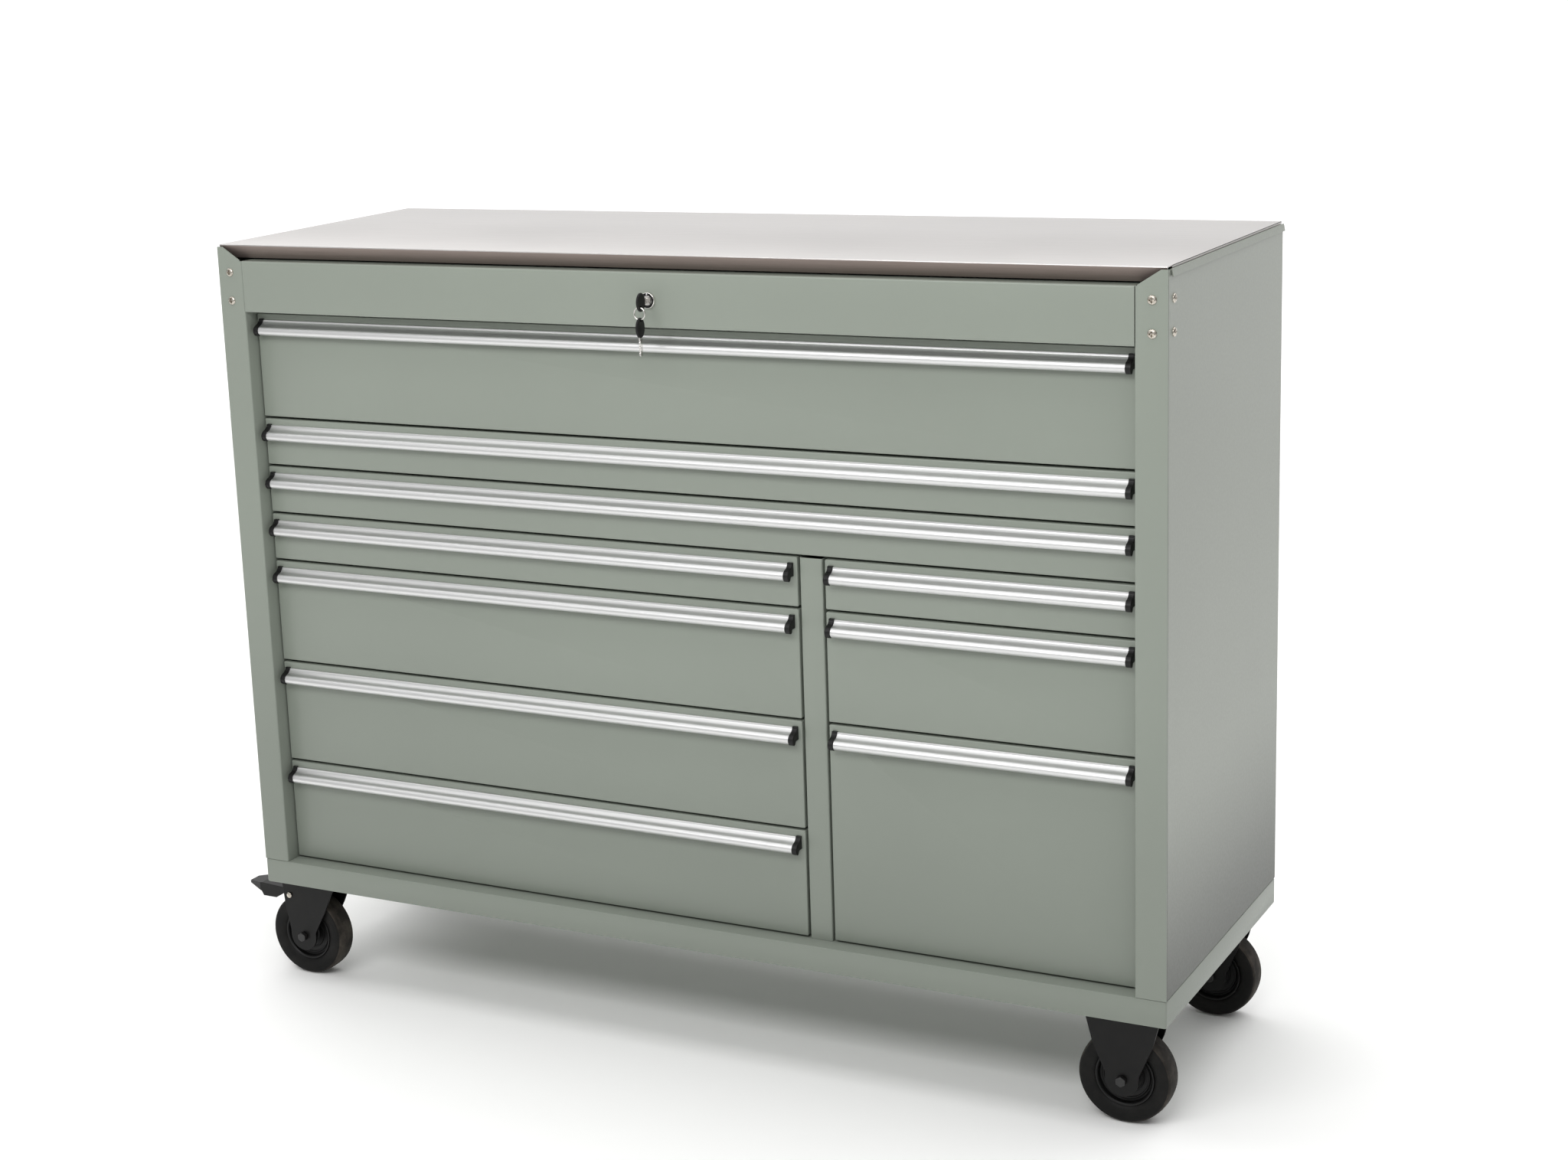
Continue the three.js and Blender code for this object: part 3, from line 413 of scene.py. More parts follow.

# %% [markdown]
# Metals are described by the streaks that the tool leaves. Satin stainless is ground along the
# length of the sheet, so its noise is stretched sixty times along X, and so are the die lines of
# the aluminium extrusion. The streaks are drawn about 2 mm apart, coarser than the real grind,
# so that they show. The lip that leans back under the worktop's nose has a finish of its own: a
# darker, browner copy of the steel that mirrors less, a painted reflection of the dark floor below.

# %% Bare and plated metals
def drawn_metal(name, main, dark, gloss, streak_mm, stretch, depth_mm=0.02, metallic=1.0, uneven=0.12):
    """Metal with noise stretched along X for its tint, gloss and relief; uneven is how much the
    roughness varies."""
    material, tree, shader = new_material(name, Metallic=metallic)
    streaks = noise(tree, texture_space(tree, (1 / stretch, 1, 1)), streak_mm, 3, 0.6)
    clouds = noise(tree, texture_space(tree), 300, 2)
    tint = add(tree, "ShaderNodeMix", {"Factor": streaks, "A": linear(main), "B": linear(dark)},
               data_type="RGBA")
    tree.links.new(tint.outputs["Result"], shader.inputs["Base Color"])
    wear_and_painted_shade = add(tree, "ShaderNodeMath", {0: streaks, 1: clouds}, operation="MULTIPLY")
    sheen = add(tree, "ShaderNodeMapRange", {"Value": wear_and_painted_shade.outputs[0], "From Max": 0.5,
                                             "To Min": gloss, "To Max": gloss + uneven})
    tree.links.new(sheen.outputs[0], shader.inputs["Roughness"])
    bump = add(tree, "ShaderNodeBump", {"Height": streaks, "Strength": 0.3,
                                        "Distance": depth_mm * MILLIMETRE})
    tree.links.new(bump.outputs[0], shader.inputs["Normal"])
    return material


def plated_metal(name, main, dark, gloss, grain_mm):
    """Plated steel: Voronoi cells give each crystal of zinc or nickel its own tone."""
    material, tree, shader = new_material(name, Metallic=1.0)
    space = texture_space(tree)
    cells = add(tree, "ShaderNodeTexVoronoi", {"Vector": space, "Scale": 1000 / grain_mm})
    tone = add(tree, "ShaderNodeSeparateColor", {"Color": cells.outputs["Color"]})
    tint = add(tree, "ShaderNodeMix", {"Factor": tone.outputs[0], "A": linear(main), "B": linear(dark)},
               data_type="RGBA")
    tree.links.new(tint.outputs["Result"], shader.inputs["Base Color"])
    sheen = add(tree, "ShaderNodeMapRange", {"Value": tone.outputs[1],
                                             "To Min": gloss, "To Max": gloss + 0.08})
    tree.links.new(sheen.outputs[0], shader.inputs["Roughness"])
    return material


satin_steel = drawn_metal("satin_stainless_steel", "#CECBC9", "#C0BDBB", 0.3, 2.0, 60)
# Painted reflection: a darker, browner, less metallic copy of the satin steel for the lip.
painted_reflection_lip_steel = drawn_metal("stainless_lip_painted_reflection", "#9A8D87", "#82756F", 0.45, 2.0, 60, metallic=0.3)
satin_aluminium = drawn_metal("anodised_aluminium", "#DEDEDE", "#D8D8D8", 0.42, 1.5, 90, depth_mm=0.002,
                              uneven=0.03)
zinc_steel = plated_metal("zinc_plated_steel", "#C3C7C9", "#A4A9AC", 0.34, 9)
bright_nickel = plated_metal("nickel_plating", "#E6E4E0", "#D8D6D2", 0.12, 3)
screw_nickel = plated_metal("dull_nickel_screws", "#D2CCC2", "#AAA398", 0.22, 2)
print("made six metals")

# %% [markdown]
# The black parts differ more in gloss than in colour. Moulded plastic has a fine spark-eroded
# grain, coated steel is smoother, and the tyres are matt with pale workshop dust on the tread,
# where the radius from the axle is largest.

# %% Black plastic, black steel and rubber
def black_finish(name, main, dust, gloss, grain_mm, depth_mm, dusting=0.25, specular=0.5):
    """A dark coating with a grain relief, and dust laid on where a larger noise is high."""
    material, tree, shader = new_material(name, **{"Specular IOR Level": specular})
    space = texture_space(tree)
    grain = noise(tree, space, grain_mm, 2)
    patches = noise(tree, space, 28, 4, 0.6)
    amount = add(tree, "ShaderNodeMapRange", {"Value": patches, "From Min": 0.42, "From Max": 0.75,
                                              "To Max": dusting})
    tint = add(tree, "ShaderNodeMix", {"Factor": amount.outputs[0], "A": linear(main), "B": linear(dust)},
               data_type="RGBA")
    tree.links.new(tint.outputs["Result"], shader.inputs["Base Color"])
    sheen = add(tree, "ShaderNodeMapRange", {"Value": grain, "To Min": gloss - 0.06, "To Max": gloss + 0.1})
    tree.links.new(sheen.outputs[0], shader.inputs["Roughness"])
    bump = add(tree, "ShaderNodeBump", {"Height": grain, "Strength": 0.5,
                                        "Distance": depth_mm * MILLIMETRE})
    tree.links.new(bump.outputs[0], shader.inputs["Normal"])
    return material


black_plastic = black_finish("moulded_black_plastic", "#0B0B0B", "#2B2A28", 0.42, 1.6, 0.06, 0.15, 0.3)
black_steel = black_finish("black_coated_steel", "#060606", "#24221F", 0.36, 3.0, 0.04, 0.15, 0.25)
tread_rubber = black_finish("dusty_tread_rubber", "#262320", "#5E574F", 0.75, 5.0, 0.15, 0.6, 0.2)
wall_rubber = black_finish("sidewall_rubber", "#0A0A09", "#2C2926", 0.55, 4.0, 0.1, 0.3, 0.2)
black_zinc = black_finish("black_zinc_plating", "#101010", "#2A2826", 0.34, 2.0, 0.05, 0.2, 0.6)
print("made five black finishes")

# %% [markdown]
# ## Casters: tyres and rims
# Each wheel is a rubber tyre pressed on a moulded rim. A turned part is a profile spun about
# its axle, so the two need only a radius and a distance across for each point. The tread is
# slightly crowned, with shoulders of 5 mm, and the rim has ridges that catch the light.

# %% Wheels
def wheel_profile(radius, half, bead, shoulder=5.0, crown=1.0, steps=5):
    """Closed tyre section, (radius, across): tread, round shoulders, walls and bead."""
    right = arc((radius - crown - shoulder, half - shoulder), shoulder, 0, 90, steps)
    left = arc((radius - crown - shoulder, shoulder - half), shoulder, 270, 360, steps)
    tread = np.array([[radius - 0.3, half * -0.45], [radius, 0], [radius - 0.3, half * 0.45]])
    wall = np.array([[bead + 8, half - 0.2], [bead + 4, half - 1.2], [bead + 1.5, half - 2.6],
                     [bead, half - 4]])
    mirrored = (wall * [1, -1])[::-1]
    return np.concatenate([tread, right, wall, mirrored, left])


def make_wheel(place):
    """Tyre and rim of one caster: the tyre's faces within 3.2 mm of its radius are tread."""
    low, high = corners("tyre_" + place)
    centre = (low + high) / 2
    radius = (high[2] - low[2]) / 2
    half = (high[1] - low[1]) / 2
    rim_low, rim_high = corners("rim_" + place)
    rim_radius = (rim_high[2] - rim_low[2]) / 2
    hub_half = (rim_high[1] - rim_low[1]) / 2
    body = "wheel_" + place
    section = wheel_profile(radius, half, rim_radius + 0.3)
    tyre = make_piece("tyre_rubber_" + place, [turned_ring(section, centre)], wall_rubber, body,
                      ["tyre_" + place])
    tyre.data.materials.append(tread_rubber)
    middle = np.array([polygon.center for polygon in tyre.data.polygons]) / MILLIMETRE - centre
    on_tread = np.hypot(middle[:, 0], middle[:, 2]) > radius - 3.2
    tyre.data.polygons.foreach_set("material_index", on_tread.astype(np.int32))
    ridge = [(6.6, hub_half), (13, hub_half), (14, hub_half - 1), (14.4, 9), (16, 7.4), (22, 7), (22.8, 8.2),
             (24, 8.2), (24.8, 7), (30, 7), (30.8, 8.2), (32, 8.2), (33, 7.2), (35.4, 8.6), (37, half - 4.4),
             (38.2, half - 3.2), (40, half - 3.0), (rim_radius, half - 4)]
    scale = rim_radius / ridge[-1][0]
    side = np.array(ridge) * [scale, 1]
    profile = np.concatenate([side, (side * [1, -1])[::-1]])
    make_piece("wheel_rim_" + place, [turned_ring(profile, centre)], black_plastic, body,
               ["rim_" + place], smooth_angle=28)
    return radius


for place in CASTERS:
    tyre_radius = make_wheel(place)
print("four wheels, radius", round(tyre_radius, 1), "mm")

# %% [markdown]
# ## Drawers
# A drawer is a pan-shaped front spot-welded to an open box of thin sheet. The front is a
# rounded slab, stacked from rectangles whose corners and edges turn on small radii. The box is
# one skin that goes up the outside, over a rolled rim and down the inside to the floor. A
# zinc-plated slide member runs along each side.

# %% Drawers
FRONT_DEPTH = 16.0
EDGE_RADIUS = 1.6
SHEET = 1.2
SLIDE_SPACE = 13.5
BOX_LIFT = 5.0
BOX_DROP = 16.0
RUNNER_DEPTH = 10.0
RUNNER_HALF = 14.5
RUNNER_RISE = 25.0
divider_low, divider_high = corners("divider")
opening_half = half_width - post_width
walls = middle_x + np.array([-opening_half, divider_low[0] - middle_x, divider_high[0] - middle_x,
                             opening_half])


def rounded_slab(axis, a, b, near, far, corner, edge, steps=4):
    """Slab along an axis whose near face has round edges: each rectangle is smaller than the
    next by edge * (1 - sin t) and stands back by edge * (1 - cos t)."""
    stations = []
    for t in np.radians(np.linspace(0, 90, steps + 1)):
        inset = edge * (1 - math.sin(t))
        along = near + math.copysign(edge * (1 - math.cos(t)), far - near)
        stations.append((a[0] + inset, a[1] - inset, b[0] + inset, b[1] - inset,
                         max(corner - inset, 0.2), along))
    stations.append((a[0], a[1], b[0], b[1], corner, far))
    return closed_stack(box_loops(axis, stations))


def open_tray(x, y, low, high, wall, corner=3.0, bend=1.5):
    """Open box as one skin: round bottom edge, outer wall, rolled rim, inner wall and floor."""
    def at(inset, z):
        return (x[0] + inset, x[1] - inset, y[0] + inset, y[1] - inset, max(corner - inset, 0.3), z)

    levels = [at(bend, low), at(bend * 0.3, low + bend * 0.3), at(0, low + bend), at(0, high - 0.6),
              at(0.2, high - 0.2), at(wall / 2, high), at(wall - 0.2, high - 0.2), at(wall, high - 0.6),
              at(wall, low + wall + bend), at(wall + bend, low + wall)]
    return closed_stack(box_loops("z", levels))


def slide_member(box_side, sign, front, back, middle):
    """Channel open towards the rail, folded from 1.2 mm sheet and swept along Y."""
    inner = box_side + sign * SHEET / 2
    outer = box_side + sign * RUNNER_DEPTH
    path = [(outer, middle - RUNNER_HALF + 0.6), (inner, middle - RUNNER_HALF + 0.6),
            (inner, middle + RUNNER_HALF - 0.6), (outer, middle + RUNNER_HALF - 0.6)]
    return swept(folded(path, SHEET, 1.2, 3), "y", [front, back])


def make_drawer(node):
    """Front, box and slide members of one drawer; returns the width of its opening."""
    low, high = corners(node)
    left, right = walls[np.abs(walls - low[0]).argmin()], walls[np.abs(walls - high[0]).argmin()]
    box_x = (left + SLIDE_SPACE, right - SLIDE_SPACE)
    inner_y = low[1] + FRONT_DEPTH
    floor_z = low[2] + BOX_LIFT
    front = rounded_slab("y", (low[0], high[0]), (low[2], high[2]), low[1], inner_y, 2.0, EDGE_RADIUS)
    tray = open_tray(box_x, (inner_y - 0.9, high[1]), floor_z, high[2] - BOX_DROP, SHEET)
    make_piece(node + "_sheet", [front, tray], cabinet_paint, node, [node])
    members = [slide_member(box_x[0], -1, inner_y + 6, high[1] - 5, floor_z + RUNNER_RISE),
               slide_member(box_x[1], 1, inner_y + 6, high[1] - 5, floor_z + RUNNER_RISE)]
    make_piece(node + "_slides", members, zinc_steel, node)
    return right - left


widths = [make_drawer(node) for node in DRAWERS]
print("ten drawers in openings", sorted(set(np.round(widths).astype(int).tolist())), "mm wide")

# %% [markdown]
# ## Hooked pulls
# Each pull is an aluminium extrusion as long as its drawer: a flat ledge, a concave cove and a
# full round bow that ends in a free lip, so the fingers hook behind it. One outline is swept
# along X. Moulded caps close the ends and stand a little proud of the metal.

# %% Pulls and end caps
CAP_LENGTH = 7.5


def bow_curve(grow=0.0):
    """Outside of the section as (distance out, height from the top): ledge, cove and bow. The
    bow is an ellipse 8.7 by 7.4, and the cove is a parabola that meets it on its tangent, with
    weights (1 - t)^2, 2 t (1 - t) and t^2. Grow moves the whole curve outwards for the caps."""
    angle = np.radians(np.linspace(75, -62, 14))
    bow = np.stack([8.6 + (8.7 + grow) * np.cos(angle), -15 + (7.4 + grow) * np.sin(angle)], -1)
    ledge = np.array([[0, grow], [2.4 + grow, grow], [2.9 + grow, -0.5 + grow], [3.0 + grow, -2.0 + grow]])
    start, end = np.array([3.1 + grow, -2.4 + grow]), bow[0]
    pull = end + np.array([-4.48, 1.02])
    t = np.linspace(0, 1, 9)[:-1, None]
    cove = (1 - t) ** 2 * start + 2 * t * (1 - t) * pull + t ** 2 * end
    return np.concatenate([ledge, cove, bow])


def pull_section(face, top):
    """Closed outline in (y, z): the bow curve, then back inside it by the wall, and the leg."""
    outside = bow_curve()
    angle = np.radians(np.linspace(-58, 66, 12))
    inside = np.stack([8.6 + 6.9 * np.cos(angle), -15 + 5.7 * np.sin(angle)], -1)
    leg = np.array([[6.2, -8.4], [3.4, -5.6], [1.8, -4.0], [1.6, -16], [0, -16]])
    shape = np.concatenate([outside, inside, leg])
    return np.stack([face - shape[:, 0], top + shape[:, 1]], -1)


def cap_section(face, top, grow=1.2):
    """Closed outline in (y, z) of an end cap: the grown bow curve and a flat back plate."""
    outside = bow_curve(grow)
    back = np.array([[10.5, -21.5], [8.4, -17.2], [0, -17.2]])
    shape = np.concatenate([outside, back])
    return np.stack([face - shape[:, 0], top + shape[:, 1]], -1)


def make_pull(node):
    """One pull and its two caps, riding on their drawer; returns the length."""
    low, high = corners(node)
    body = "drawer_" + node[5:]
    face, top = high[1] + 0.3, high[2]
    make_piece(node + "_extrusion", [swept(pull_section(face, top), "x", [low[0] + 6, high[0] - 6])],
               satin_aluminium, body, [node], smooth_angle=28)
    cap_ends = {"left": [low[0], low[0] + CAP_LENGTH], "right": [high[0] - CAP_LENGTH, high[0]]}
    for side, ends in cap_ends.items():
        cap = make_piece(node + "_cap_" + side, [swept(cap_section(face, top), "x", ends)],
                         black_plastic, body, smooth_angle=28)
        bevel(cap, 0.5)
    return high[0] - low[0]


lengths = [make_pull(node.replace("drawer_", "pull_")) for node in DRAWERS]
print("pulls", round(min(lengths)), "to", round(max(lengths)), "mm long, with two caps each")

# %% [markdown]
# ## Cabinet shell
# The shell is bent from 1.2 and 1.5 mm sheet. Each part is a path of straight runs whose
# corners are bent on the press brake, so one function rounds the path, gives it the sheet's
# thickness and sweeps it. The radii are what separate folded steel from a block of plastic.

# %% Base, header and divider
HEAVY_SHEET = 1.5
LIP_WIDTH = 20
FRONT_LIP = 44.3
bottom, lip_z = plinth_low[2], plinth_high[2]
x0, x1 = plinth_low[0], plinth_high[0]


def plinth_level(inset, front_inset, rear_inset, z, corner):
    """One rounded rectangle of the base, moved in from its outline at the sides, front and rear."""
    return (x0 + inset, x1 - inset, front_y + front_inset, rear_y - rear_inset, corner, z)


plinth_levels = [plinth_level(2, 2, 2, bottom, 2), plinth_level(0.6, 0.6, 0.6, bottom + 0.6, 3),
                 plinth_level(0, 0, 0, bottom + 2, 3), plinth_level(0, 0, 0, lip_z - 1.6, 3),
                 plinth_level(0.5, 0.5, 0.5, lip_z - 0.5, 3), plinth_level(1.6, 1.6, 1.6, lip_z, 3),
                 plinth_level(LIP_WIDTH, FRONT_LIP, LIP_WIDTH, lip_z, 3),
                 plinth_level(LIP_WIDTH, FRONT_LIP, LIP_WIDTH, lip_z - HEAVY_SHEET, 3),
                 plinth_level(3, 3, 3, lip_z - HEAVY_SHEET - 1, 2),
                 plinth_level(3, 3, 3, bottom + HEAVY_SHEET, 2)]
make_piece("base_plinth_pressing", [closed_stack(box_loops("z", plinth_levels))], cabinet_paint,
           "cabinet", ["base_plinth"])

wall = SHEET
header_path = [(front_y + 20, header_low[2] + wall / 2), (front_y + wall / 2, header_low[2] + wall / 2),
               (front_y + wall / 2, header_high[2] - wall / 2), (front_y + 36, header_high[2] - wall / 2)]
make_piece("lock_fascia", [swept(folded(header_path, wall, 1.5), "x", [header_low[0], header_high[0]])],
           cabinet_paint, "cabinet", ["header_panel"])

divider_path = [(divider_low[0] + wall / 2, divider_high[1]),
                (divider_low[0] + wall / 2, divider_low[1] + wall / 2),
                (divider_high[0] - wall / 2, divider_low[1] + wall / 2),
                (divider_high[0] - wall / 2, divider_high[1])]
divider_outline = folded(divider_path, wall, 1.8)
make_piece("centre_column", [swept(divider_outline, "z", [divider_low[2], divider_high[2]])],
           cabinet_paint, "cabinet", ["divider"])
print("base", round(lip_z - bottom, 1), "mm high, header", round(header_high[2] - header_low[2], 1), "mm")

# %% [markdown]
# A post is a channel with its web to the front. Above the header the web goes on up to the
# worktop and is cut off along a slope, which leaves a small triangular ear at each end.

# %% Posts
POST_RETURN = 44.0
POST_FLAT = 9.0


def make_post(node, side):
    """One corner post: side is -1 on the left and 1 on the right."""
    low, high = corners(node)
    inner = low[0] if side > 0 else high[0]
    outer = high[0] if side > 0 else low[0]
    wall = HEAVY_SHEET
    flange = outer - side * 2.3
    path = [(inner + side * wall / 2, front_y + POST_RETURN), (inner + side * wall / 2, front_y + wall / 2),
            (outer - side * 0.2, front_y + wall / 2)]
    channel = swept(folded(path, wall, 1.8), "z", [low[2], header_high[2]])
    hidden = swept(np.array([(flange, front_y + wall), (flange - side * wall, front_y + wall),
                             (flange - side * wall, front_y + 36), (flange, front_y + 36)]), "z",
                   [low[2], header_high[2]])
    ear = np.array([(inner + side * wall, header_high[2] - 0.01), (outer - side * POST_FLAT, high[2]),
                    (outer - side * 0.2, high[2]), (outer - side * 0.2, header_high[2] - 0.01)])
    web = swept(rounded(ear, 0.8, 3, closed=True), "y", [front_y, front_y + wall])
    make_piece(node + "_channel", [channel, hidden, web], cabinet_paint, "cabinet", [node])


make_post("post_left", -1)
make_post("post_right", 1)
print("posts", round(post_width), "mm wide")

# %% [markdown]
# The side sheet ends in a hem under the worktop: the edge is folded right back on itself, so
# no sharp edge is left. Its outline in (x, z) turns two tight corners at the top and comes
# down again outside the sheet.

# %% Side panels
HEM_HEIGHT = 9.5
HEM_START = 10.0


def make_side(node, side):
    """One side panel: its hem starts behind the post, and a flange turns in at the rear."""
    low, high = corners(node)
    skin = middle_x + side * (half_width - SHEET / 2)
    fold = middle_x + side * (half_width + SHEET / 2 + 0.4)
    turned_in = middle_x + side * (half_width - 20)
    foot = [(turned_in, low[2] + 0.6), (skin, low[2] + 0.6)]
    hem = [(skin, high[2] - 0.6), (fold, high[2] - 0.6), (fold + side * 1.6, high[2] - HEM_HEIGHT)]
    start = front_y + HEM_START
    rear = high[1] - 0.3
    front_part = swept(folded(foot + [(skin, high[2] - 0.4)], SHEET, 0.62), "y", [low[1] + 0.2, start])
    main_part = swept(folded(foot + hem, SHEET, 0.62), "y", [start, rear])
    behind = skin - side * 1.3
    flange = folded([(turned_in, rear), (behind, rear), (behind, rear - 12)], SHEET, 1.5)
    rear_part = swept(flange, "z", [low[2] + 1.4, high[2] - 25])
    make_piece(node + "_sheet", [front_part, main_part, rear_part], shaded_side_paint, "cabinet",
               [node])


make_side("side_panel_left", -1)
make_side("side_panel_right", 1)
print("two side panels with hems")

# %% [markdown]
# ## Worktop
# One sheet of satin stainless makes the flat top, a narrow nose, and a lip that leans back
# under the nose, where a small return stiffens its edge. The section is swept along X, and two
# flanges turned down at the ends drop inside the side panels.

# %% Worktop
TOP_NOSE = 1.6
LIP_LEAN = 17.0
wall = SHEET
under = top_low[2]
nose_y = top_low[1]
lip_y = nose_y + LIP_LEAN
half_wall = wall / 2
top_path = [(lip_y + 7, under + 4.4), (lip_y + half_wall, under + half_wall),
            (nose_y + half_wall, top_high[2] - TOP_NOSE), (nose_y + half_wall, top_high[2] - half_wall),
            (top_high[1] - half_wall, top_high[2] - half_wall), (top_high[1] - half_wall, under)]
worktop_sheet = swept(folded(top_path, wall, 0.62, 3), "x", [top_low[0], top_high[0]])


def end_flange(x_out, x_in):
    """The sheet turned down at one end of the worktop, between two places along X."""
    edge = top_high[2] - 0.3
    outline = np.array([(x_out, edge), (x_out, under), (x_in, under), (x_in, edge)])
    return swept(outline, "y", [lip_y + wall, top_high[1] - 0.2])


flanges = [end_flange(top_low[0], top_low[0] + wall), end_flange(top_high[0], top_high[0] - wall)]
worktop = make_piece("worktop_sheet", [worktop_sheet] + flanges, satin_steel, "cabinet",
                     ["worktop"], smooth_angle=30)
# The lip's faces take the darker copy, a painted reflection of the dark floor under the nose.
worktop.data.materials.append(painted_reflection_lip_steel)
centres = np.array([polygon.center for polygon in worktop.data.polygons]) / MILLIMETRE
leaning = (centres[:, 1] < lip_y + 8) & (centres[:, 2] < top_high[2] - TOP_NOSE - 0.1)
worktop.data.polygons.foreach_set("material_index", leaning.astype(np.int32))
print("worktop", round(top_high[0] - top_low[0]), "x", round(top_high[1] - top_low[1]), "mm")

# %% [markdown]
# ## Screws
# Eight nickel-plated pan-head screws hold the posts and the side panels. The recess is a cross:
# seen from above, its edge is the outline of two crossed bars, so its radius at angle t is the
# larger of min(L / |cos t|, w / |sin t|) and the same with sine and cosine exchanged.

# %% Screws
HEAD_RADIUS = 6.0
SCREW_HEIGHTS = (933, 892)
POST_SCREW_X = 690
SIDE_SCREW_BACK = 22.5


def cross_radius(angle, length, width):
    """Radius of the outline of two crossed bars, as in the formula above."""
    cosine = np.maximum(np.abs(np.cos(angle)), 1e-6)
    sine = np.maximum(np.abs(np.sin(angle)), 1e-6)
    return np.maximum(np.minimum(length / cosine, width / sine), np.minimum(width / cosine, length / sine))


def screw_surface(centre, axis, sign, head=HEAD_RADIUS):
    """Dome rings, then a ring that turns from a circle to a cross and goes down into the head."""
    first, second, along = AXES[axis]
    angle = np.arange(48) * 2 * math.pi / 48 + 0.065
    dome = [(1.0, 0.0), (1.0, 0.7), (0.95, 1.3), (0.82, 1.9), (0.7, 2.3)]
    radii = [np.full(48, head * share) for share, _ in dome]
    radii += [cross_radius(angle, head * 0.62, head * 0.17), cross_radius(angle, head * 0.4, head * 0.1)]
    heights = [height for _, height in dome] + [2.5, 0.1]
    loops = np.zeros((len(radii), 48, 3))
    loops[:, :, first] = centre[first] + np.array(radii) * np.cos(angle)
    loops[:, :, second] = centre[second] + np.array(radii) * np.sin(angle)
    loops[:, :, along] = centre[along] + sign * np.array(heights)[:, None]
    return closed_stack(loops)


screw_heights = [plinth_low[2] + height for height in SCREW_HEIGHTS]
post_screws = [(middle_x + side * POST_SCREW_X, front_y, z) for side in (-1, 1) for z in screw_heights]
side_screws = [(middle_x + side * half_width, front_y + SIDE_SCREW_BACK, z, side)
               for side in (-1, 1) for z in screw_heights]
for index, place in enumerate(post_screws):
    make_piece(f"post_screw_{index + 1}", [screw_surface(place, "y", -1)], screw_nickel, "cabinet",
               smooth_angle=40)
for index, (x, y, z, side) in enumerate(side_screws):
    make_piece(f"side_screw_{index + 1}", [screw_surface((x, y, z), "x", side)], screw_nickel, "cabinet",
               smooth_angle=40)
print(len(post_screws) + len(side_screws), "screws")

# %% [markdown]
# ## Lock and keys
# The lock is a plated bezel around a black ring and a bright plug. A key with a moulded bow is
# in it, and a split ring carries the spare, which hangs edge-on with its toothed blade down.
# Bows are rings of rounded ovals that run from the outer edge, over the face, into the hole.

# %% Lock
barrel_low, barrel_high = corners("lock_barrel")
bezel_radius = (barrel_high[2] - barrel_low[2]) / 2
lock = np.array([(barrel_low[0] + barrel_high[0]) / 2, front_y, (barrel_low[2] + barrel_high[2]) / 2])
proud = front_y - barrel_low[1]
bezel = [(9.6, 20), (9.6, -proud + 1.2), (9.8, -proud + 0.4), (10.1, -proud), (10.4, -proud + 0.2),
         (10.9, -proud + 1.4), (bezel_radius, -1.2), (bezel_radius, -0.3), (9.9, -0.3), (9.9, 20)]
make_piece("lock_bezel", [turned_ring(bezel, lock)], bright_nickel, "cabinet", ["lock_barrel"])
inner_ring = [(7.3, 6), (7.3, -proud + 0.9), (9.5, -proud + 0.9), (9.5, 6)]
make_piece("lock_inner_ring", [turned_ring(inner_ring, lock)], black_plastic, "cabinet")
plug_face = -proud + 1.0
plug = [(7.0, 20), (7.0, plug_face + 0.5), (6.5, plug_face), (4.6, plug_face), (4.3, plug_face + 0.5),
        (0.6, plug_face + 0.5)]
make_piece("lock_plug_face", [turned(plug, lock)], bright_nickel, "lock_plug", ["lock_plug"])
index_dot = [(1.1, -0.1), (1.1, -0.5), (0.8, -0.7), (0.1, -0.75)]
make_piece("lock_index_dot", [turned(index_dot, lock + [0, -proud + 0.9, 8.4], sides=24)],
           satin_aluminium, "cabinet")
print("lock at", np.round(lock, 1))


# %% Keys
def key_bow(y_centre, z_centre, half_y, half_z, hole, thick, hole_radius=2.5, count=64):
    """Ring of loops: ellipse edge with 1 mm round corners on both faces, then the hole wall."""
    angle = np.arange(count) * 2 * math.pi / count
    half = thick / 2
    rim = [(1.0, -half + 1), (0.93, -half + 0.2), (0.84, -half)]
    stations = []
    for share, x in rim[::-1] + [(share, -x) for share, x in rim]:
        stations.append(np.stack([np.full(count, lock[0] + x), y_centre + half_y * share * np.cos(angle),
                                  z_centre + half_z * share * np.sin(angle)], -1))
    for x in (half, -half):
        stations.append(np.stack([np.full(count, lock[0] + x), hole[0] + hole_radius * np.cos(angle),
                                  hole[1] + hole_radius * np.sin(angle)], -1))
    return closed_ring(np.array(stations))


BOW_HALF_Y = 10
BOW_THICKNESS = 4
BLADE_HALF = 3.5
BLADE_LENGTH = 24
blade_sides = [lock[0] - 1.1, lock[0] + 1.1]
key_low, key_high = corners("key")
ring_low, ring_high = corners("key_ring")
bow_half_z = (key_high[2] - key_low[2]) / 2
bow_y = key_low[1] + BOW_HALF_Y
ring_centre = (ring_low + ring_high) / 2
ring_radius = (ring_high[2] - ring_low[2]) / 2 - 0.9
key_hole = (ring_centre[1], ring_centre[2] + ring_radius + 0.3)
make_piece("key_bow", [key_bow(bow_y, lock[2], BOW_HALF_Y, bow_half_z, key_hole, BOW_THICKNESS)],
           black_plastic, "key", ["key"])
blade = np.array([(bow_y + 6, lock[2] - BLADE_HALF), (key_high[1], lock[2] - BLADE_HALF),
                  (key_high[1], lock[2] + BLADE_HALF), (bow_y + 6, lock[2] + BLADE_HALF)])
key_blade = make_piece("key_blade", [swept(blade, "x", blade_sides)], bright_nickel, "key")
bevel(key_blade, 0.3)

wire = arc((0, 0), 0.85, 0, 330, 11)
coils = [turned_ring(wire + [ring_radius, shift], ring_centre) for shift in (-0.5, 0.5)]
make_piece("split_ring", coils, bright_nickel, "key_ring", ["key_ring"])

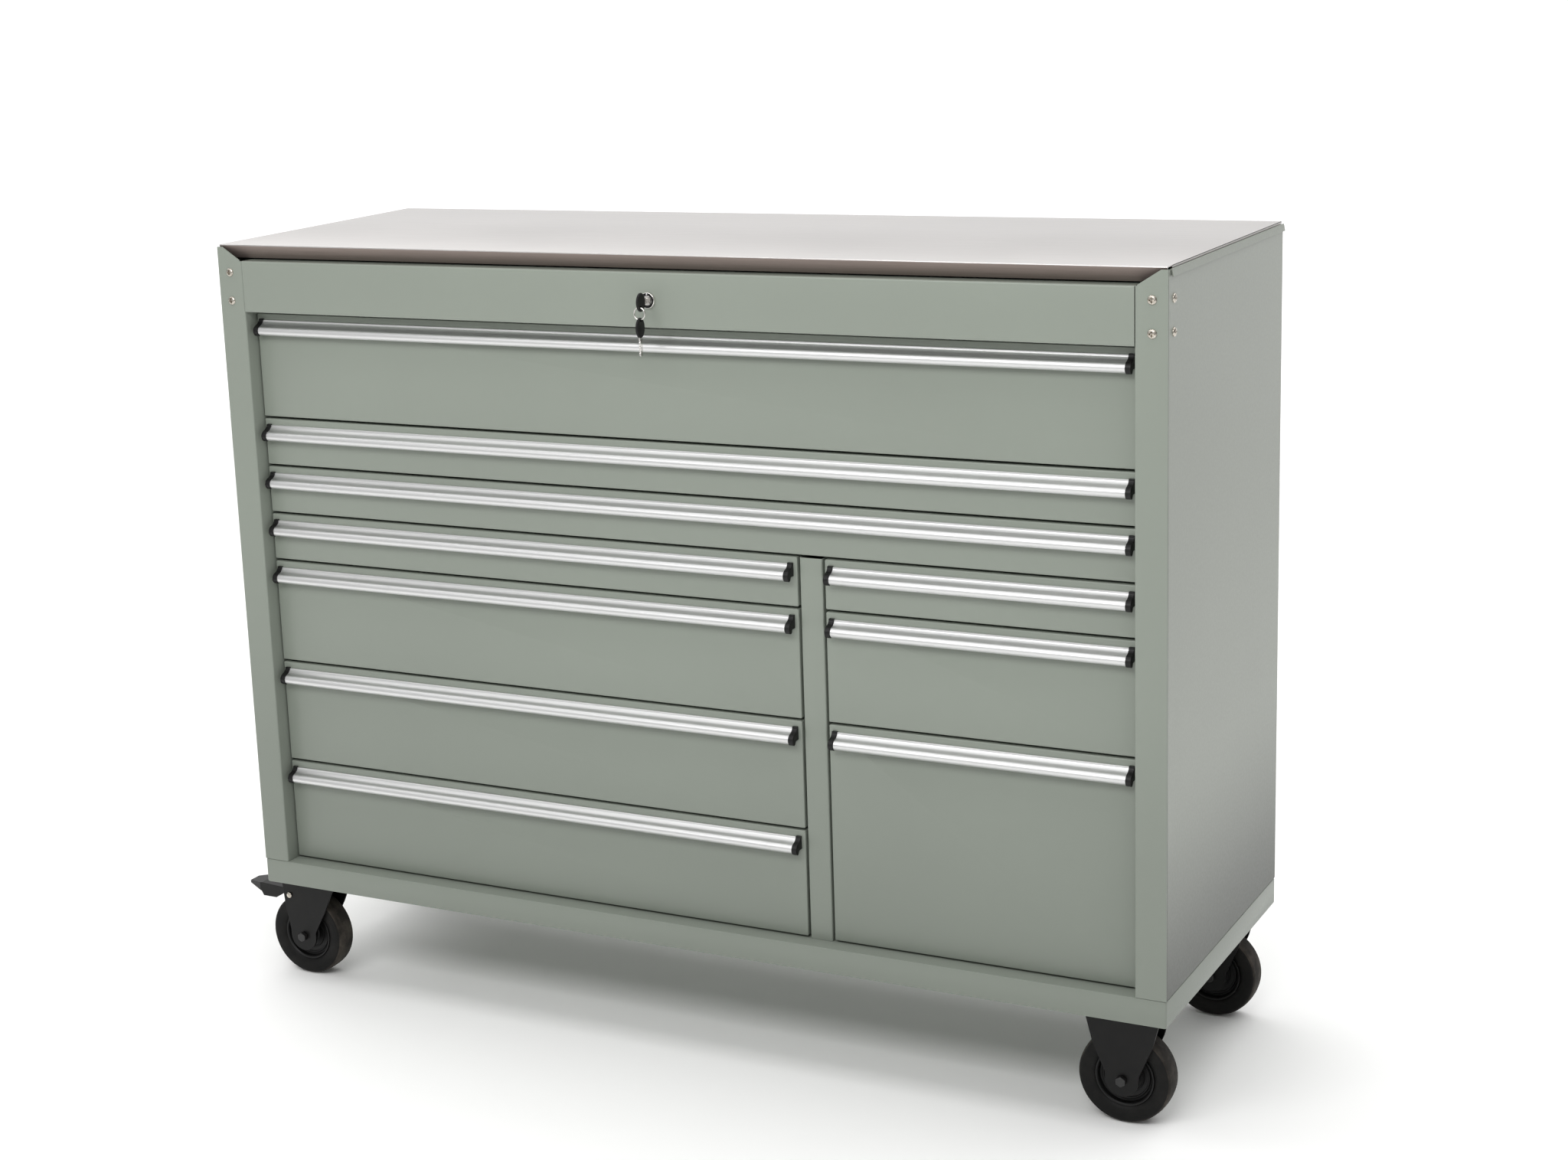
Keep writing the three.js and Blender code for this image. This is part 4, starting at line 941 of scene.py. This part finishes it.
spare_top = ring_centre[2] - ring_radius + 2.6
spare_y = ring_centre[1]
spare_bow_half = 13.5
spare_z = spare_top - spare_bow_half
spare_hole = (spare_y, ring_centre[2] - ring_radius - 0.3)
make_piece("spare_key_bow", [key_bow(spare_y, spare_z, BOW_HALF_Y, spare_bow_half, spare_hole,
                                     BOW_THICKNESS)], black_plastic, "key_ring")
tip = spare_z - spare_bow_half - BLADE_LENGTH
cut_edge = spare_y - BLADE_HALF
teeth = np.arange(5)
notch_z = tip + 4 + teeth * 3.6
depth = np.array([1.2, 2.0, 0.9, 1.7, 1.3])
notches = np.stack([np.stack([cut_edge + 0 * depth, notch_z], -1),
                    np.stack([cut_edge + depth, notch_z + 1.1], -1),
                    np.stack([cut_edge + depth, notch_z + 1.9], -1),
                    np.stack([cut_edge + 0 * depth, notch_z + 3.0], -1)], 1).reshape(-1, 2)
shank = np.array([(cut_edge, spare_z - 6), (spare_y + BLADE_HALF, spare_z - 6),
                  (spare_y + BLADE_HALF, tip + 2), (spare_y + 1.5, tip), (spare_y - 1.5, tip),
                  (cut_edge, tip + 2)])
spare_outline = np.concatenate([shank, notches])
spare_blade = make_piece("spare_key_blade", [swept(spare_outline, "x", blade_sides)],
                         bright_nickel, "key_ring")
bevel(spare_blade, 0.25)
print("keys down to z", round(tip))

# %% [markdown]
# ## Parts that keep the model's shape
# The forks, plates, pedals, axles, racks, back and lock linkage already have their true shape.
# Their meshes are loose triangles, so a Weld modifier joins the corners before a Bevel rounds
# the edges, and then each gets its finish. A domed rivet is added where each pedal pivots.

# %% Brake rivets
PIVOT_OUT = 21
PIVOT_RISE = 64
for place in ("front_left", "rear_left"):
    pedal_face = corners("brake_pedal_" + place)[0][1]
    axle_low, axle_high = corners("axle_" + place)
    pivot = np.array([(axle_low[0] + axle_high[0]) / 2 - PIVOT_OUT, pedal_face,
                      (axle_low[2] + axle_high[2]) / 2 + PIVOT_RISE])
    dome = [(4.6, 1.4), (4.6, 0.4), (4.2, -0.4), (3.2, -1.1), (1.6, -1.5), (0.4, -1.6)]
    make_piece("brake_rivet_" + place, [turned(dome, pivot, sides=48)], screw_nickel, "brake_" + place)
print("two rivets on the brake pivots")


# %% Carried-over nodes
def finish_node(node, material, width=0.6, segments=2):
    """Give a node of the model its finish, join its loose corners and round its edges."""
    obj = bpy.data.objects[node]
    if not obj.material_slots:
        obj.data.materials.append(material)
    for place in obj.material_slots:
        place.material = material
    weld = obj.modifiers.new("join_corners", "WELD")
    weld.merge_threshold = 0.02 * MILLIMETRE
    bevel(obj, width, segments)


KEPT = [("fork_", black_steel, 0.8), ("swivel_plate_", black_steel, 0.8),
        ("brake_pedal_", black_plastic, 1.2), ("axle_", black_zinc, 0.8),
        ("rack_", zinc_steel, 0.4), ("back_panel", cabinet_paint, 0.3),
        ("lock_rod", zinc_steel, 0.4), ("lock_bar", zinc_steel, 0.4)]
kept_nodes = 0
for start, finish, width in KEPT:
    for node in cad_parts:
        if node.startswith(start) and node != "lock_barrel":
            finish_node(node, finish, width)
            kept_nodes += 1
print(kept_nodes, "nodes keep their shape")
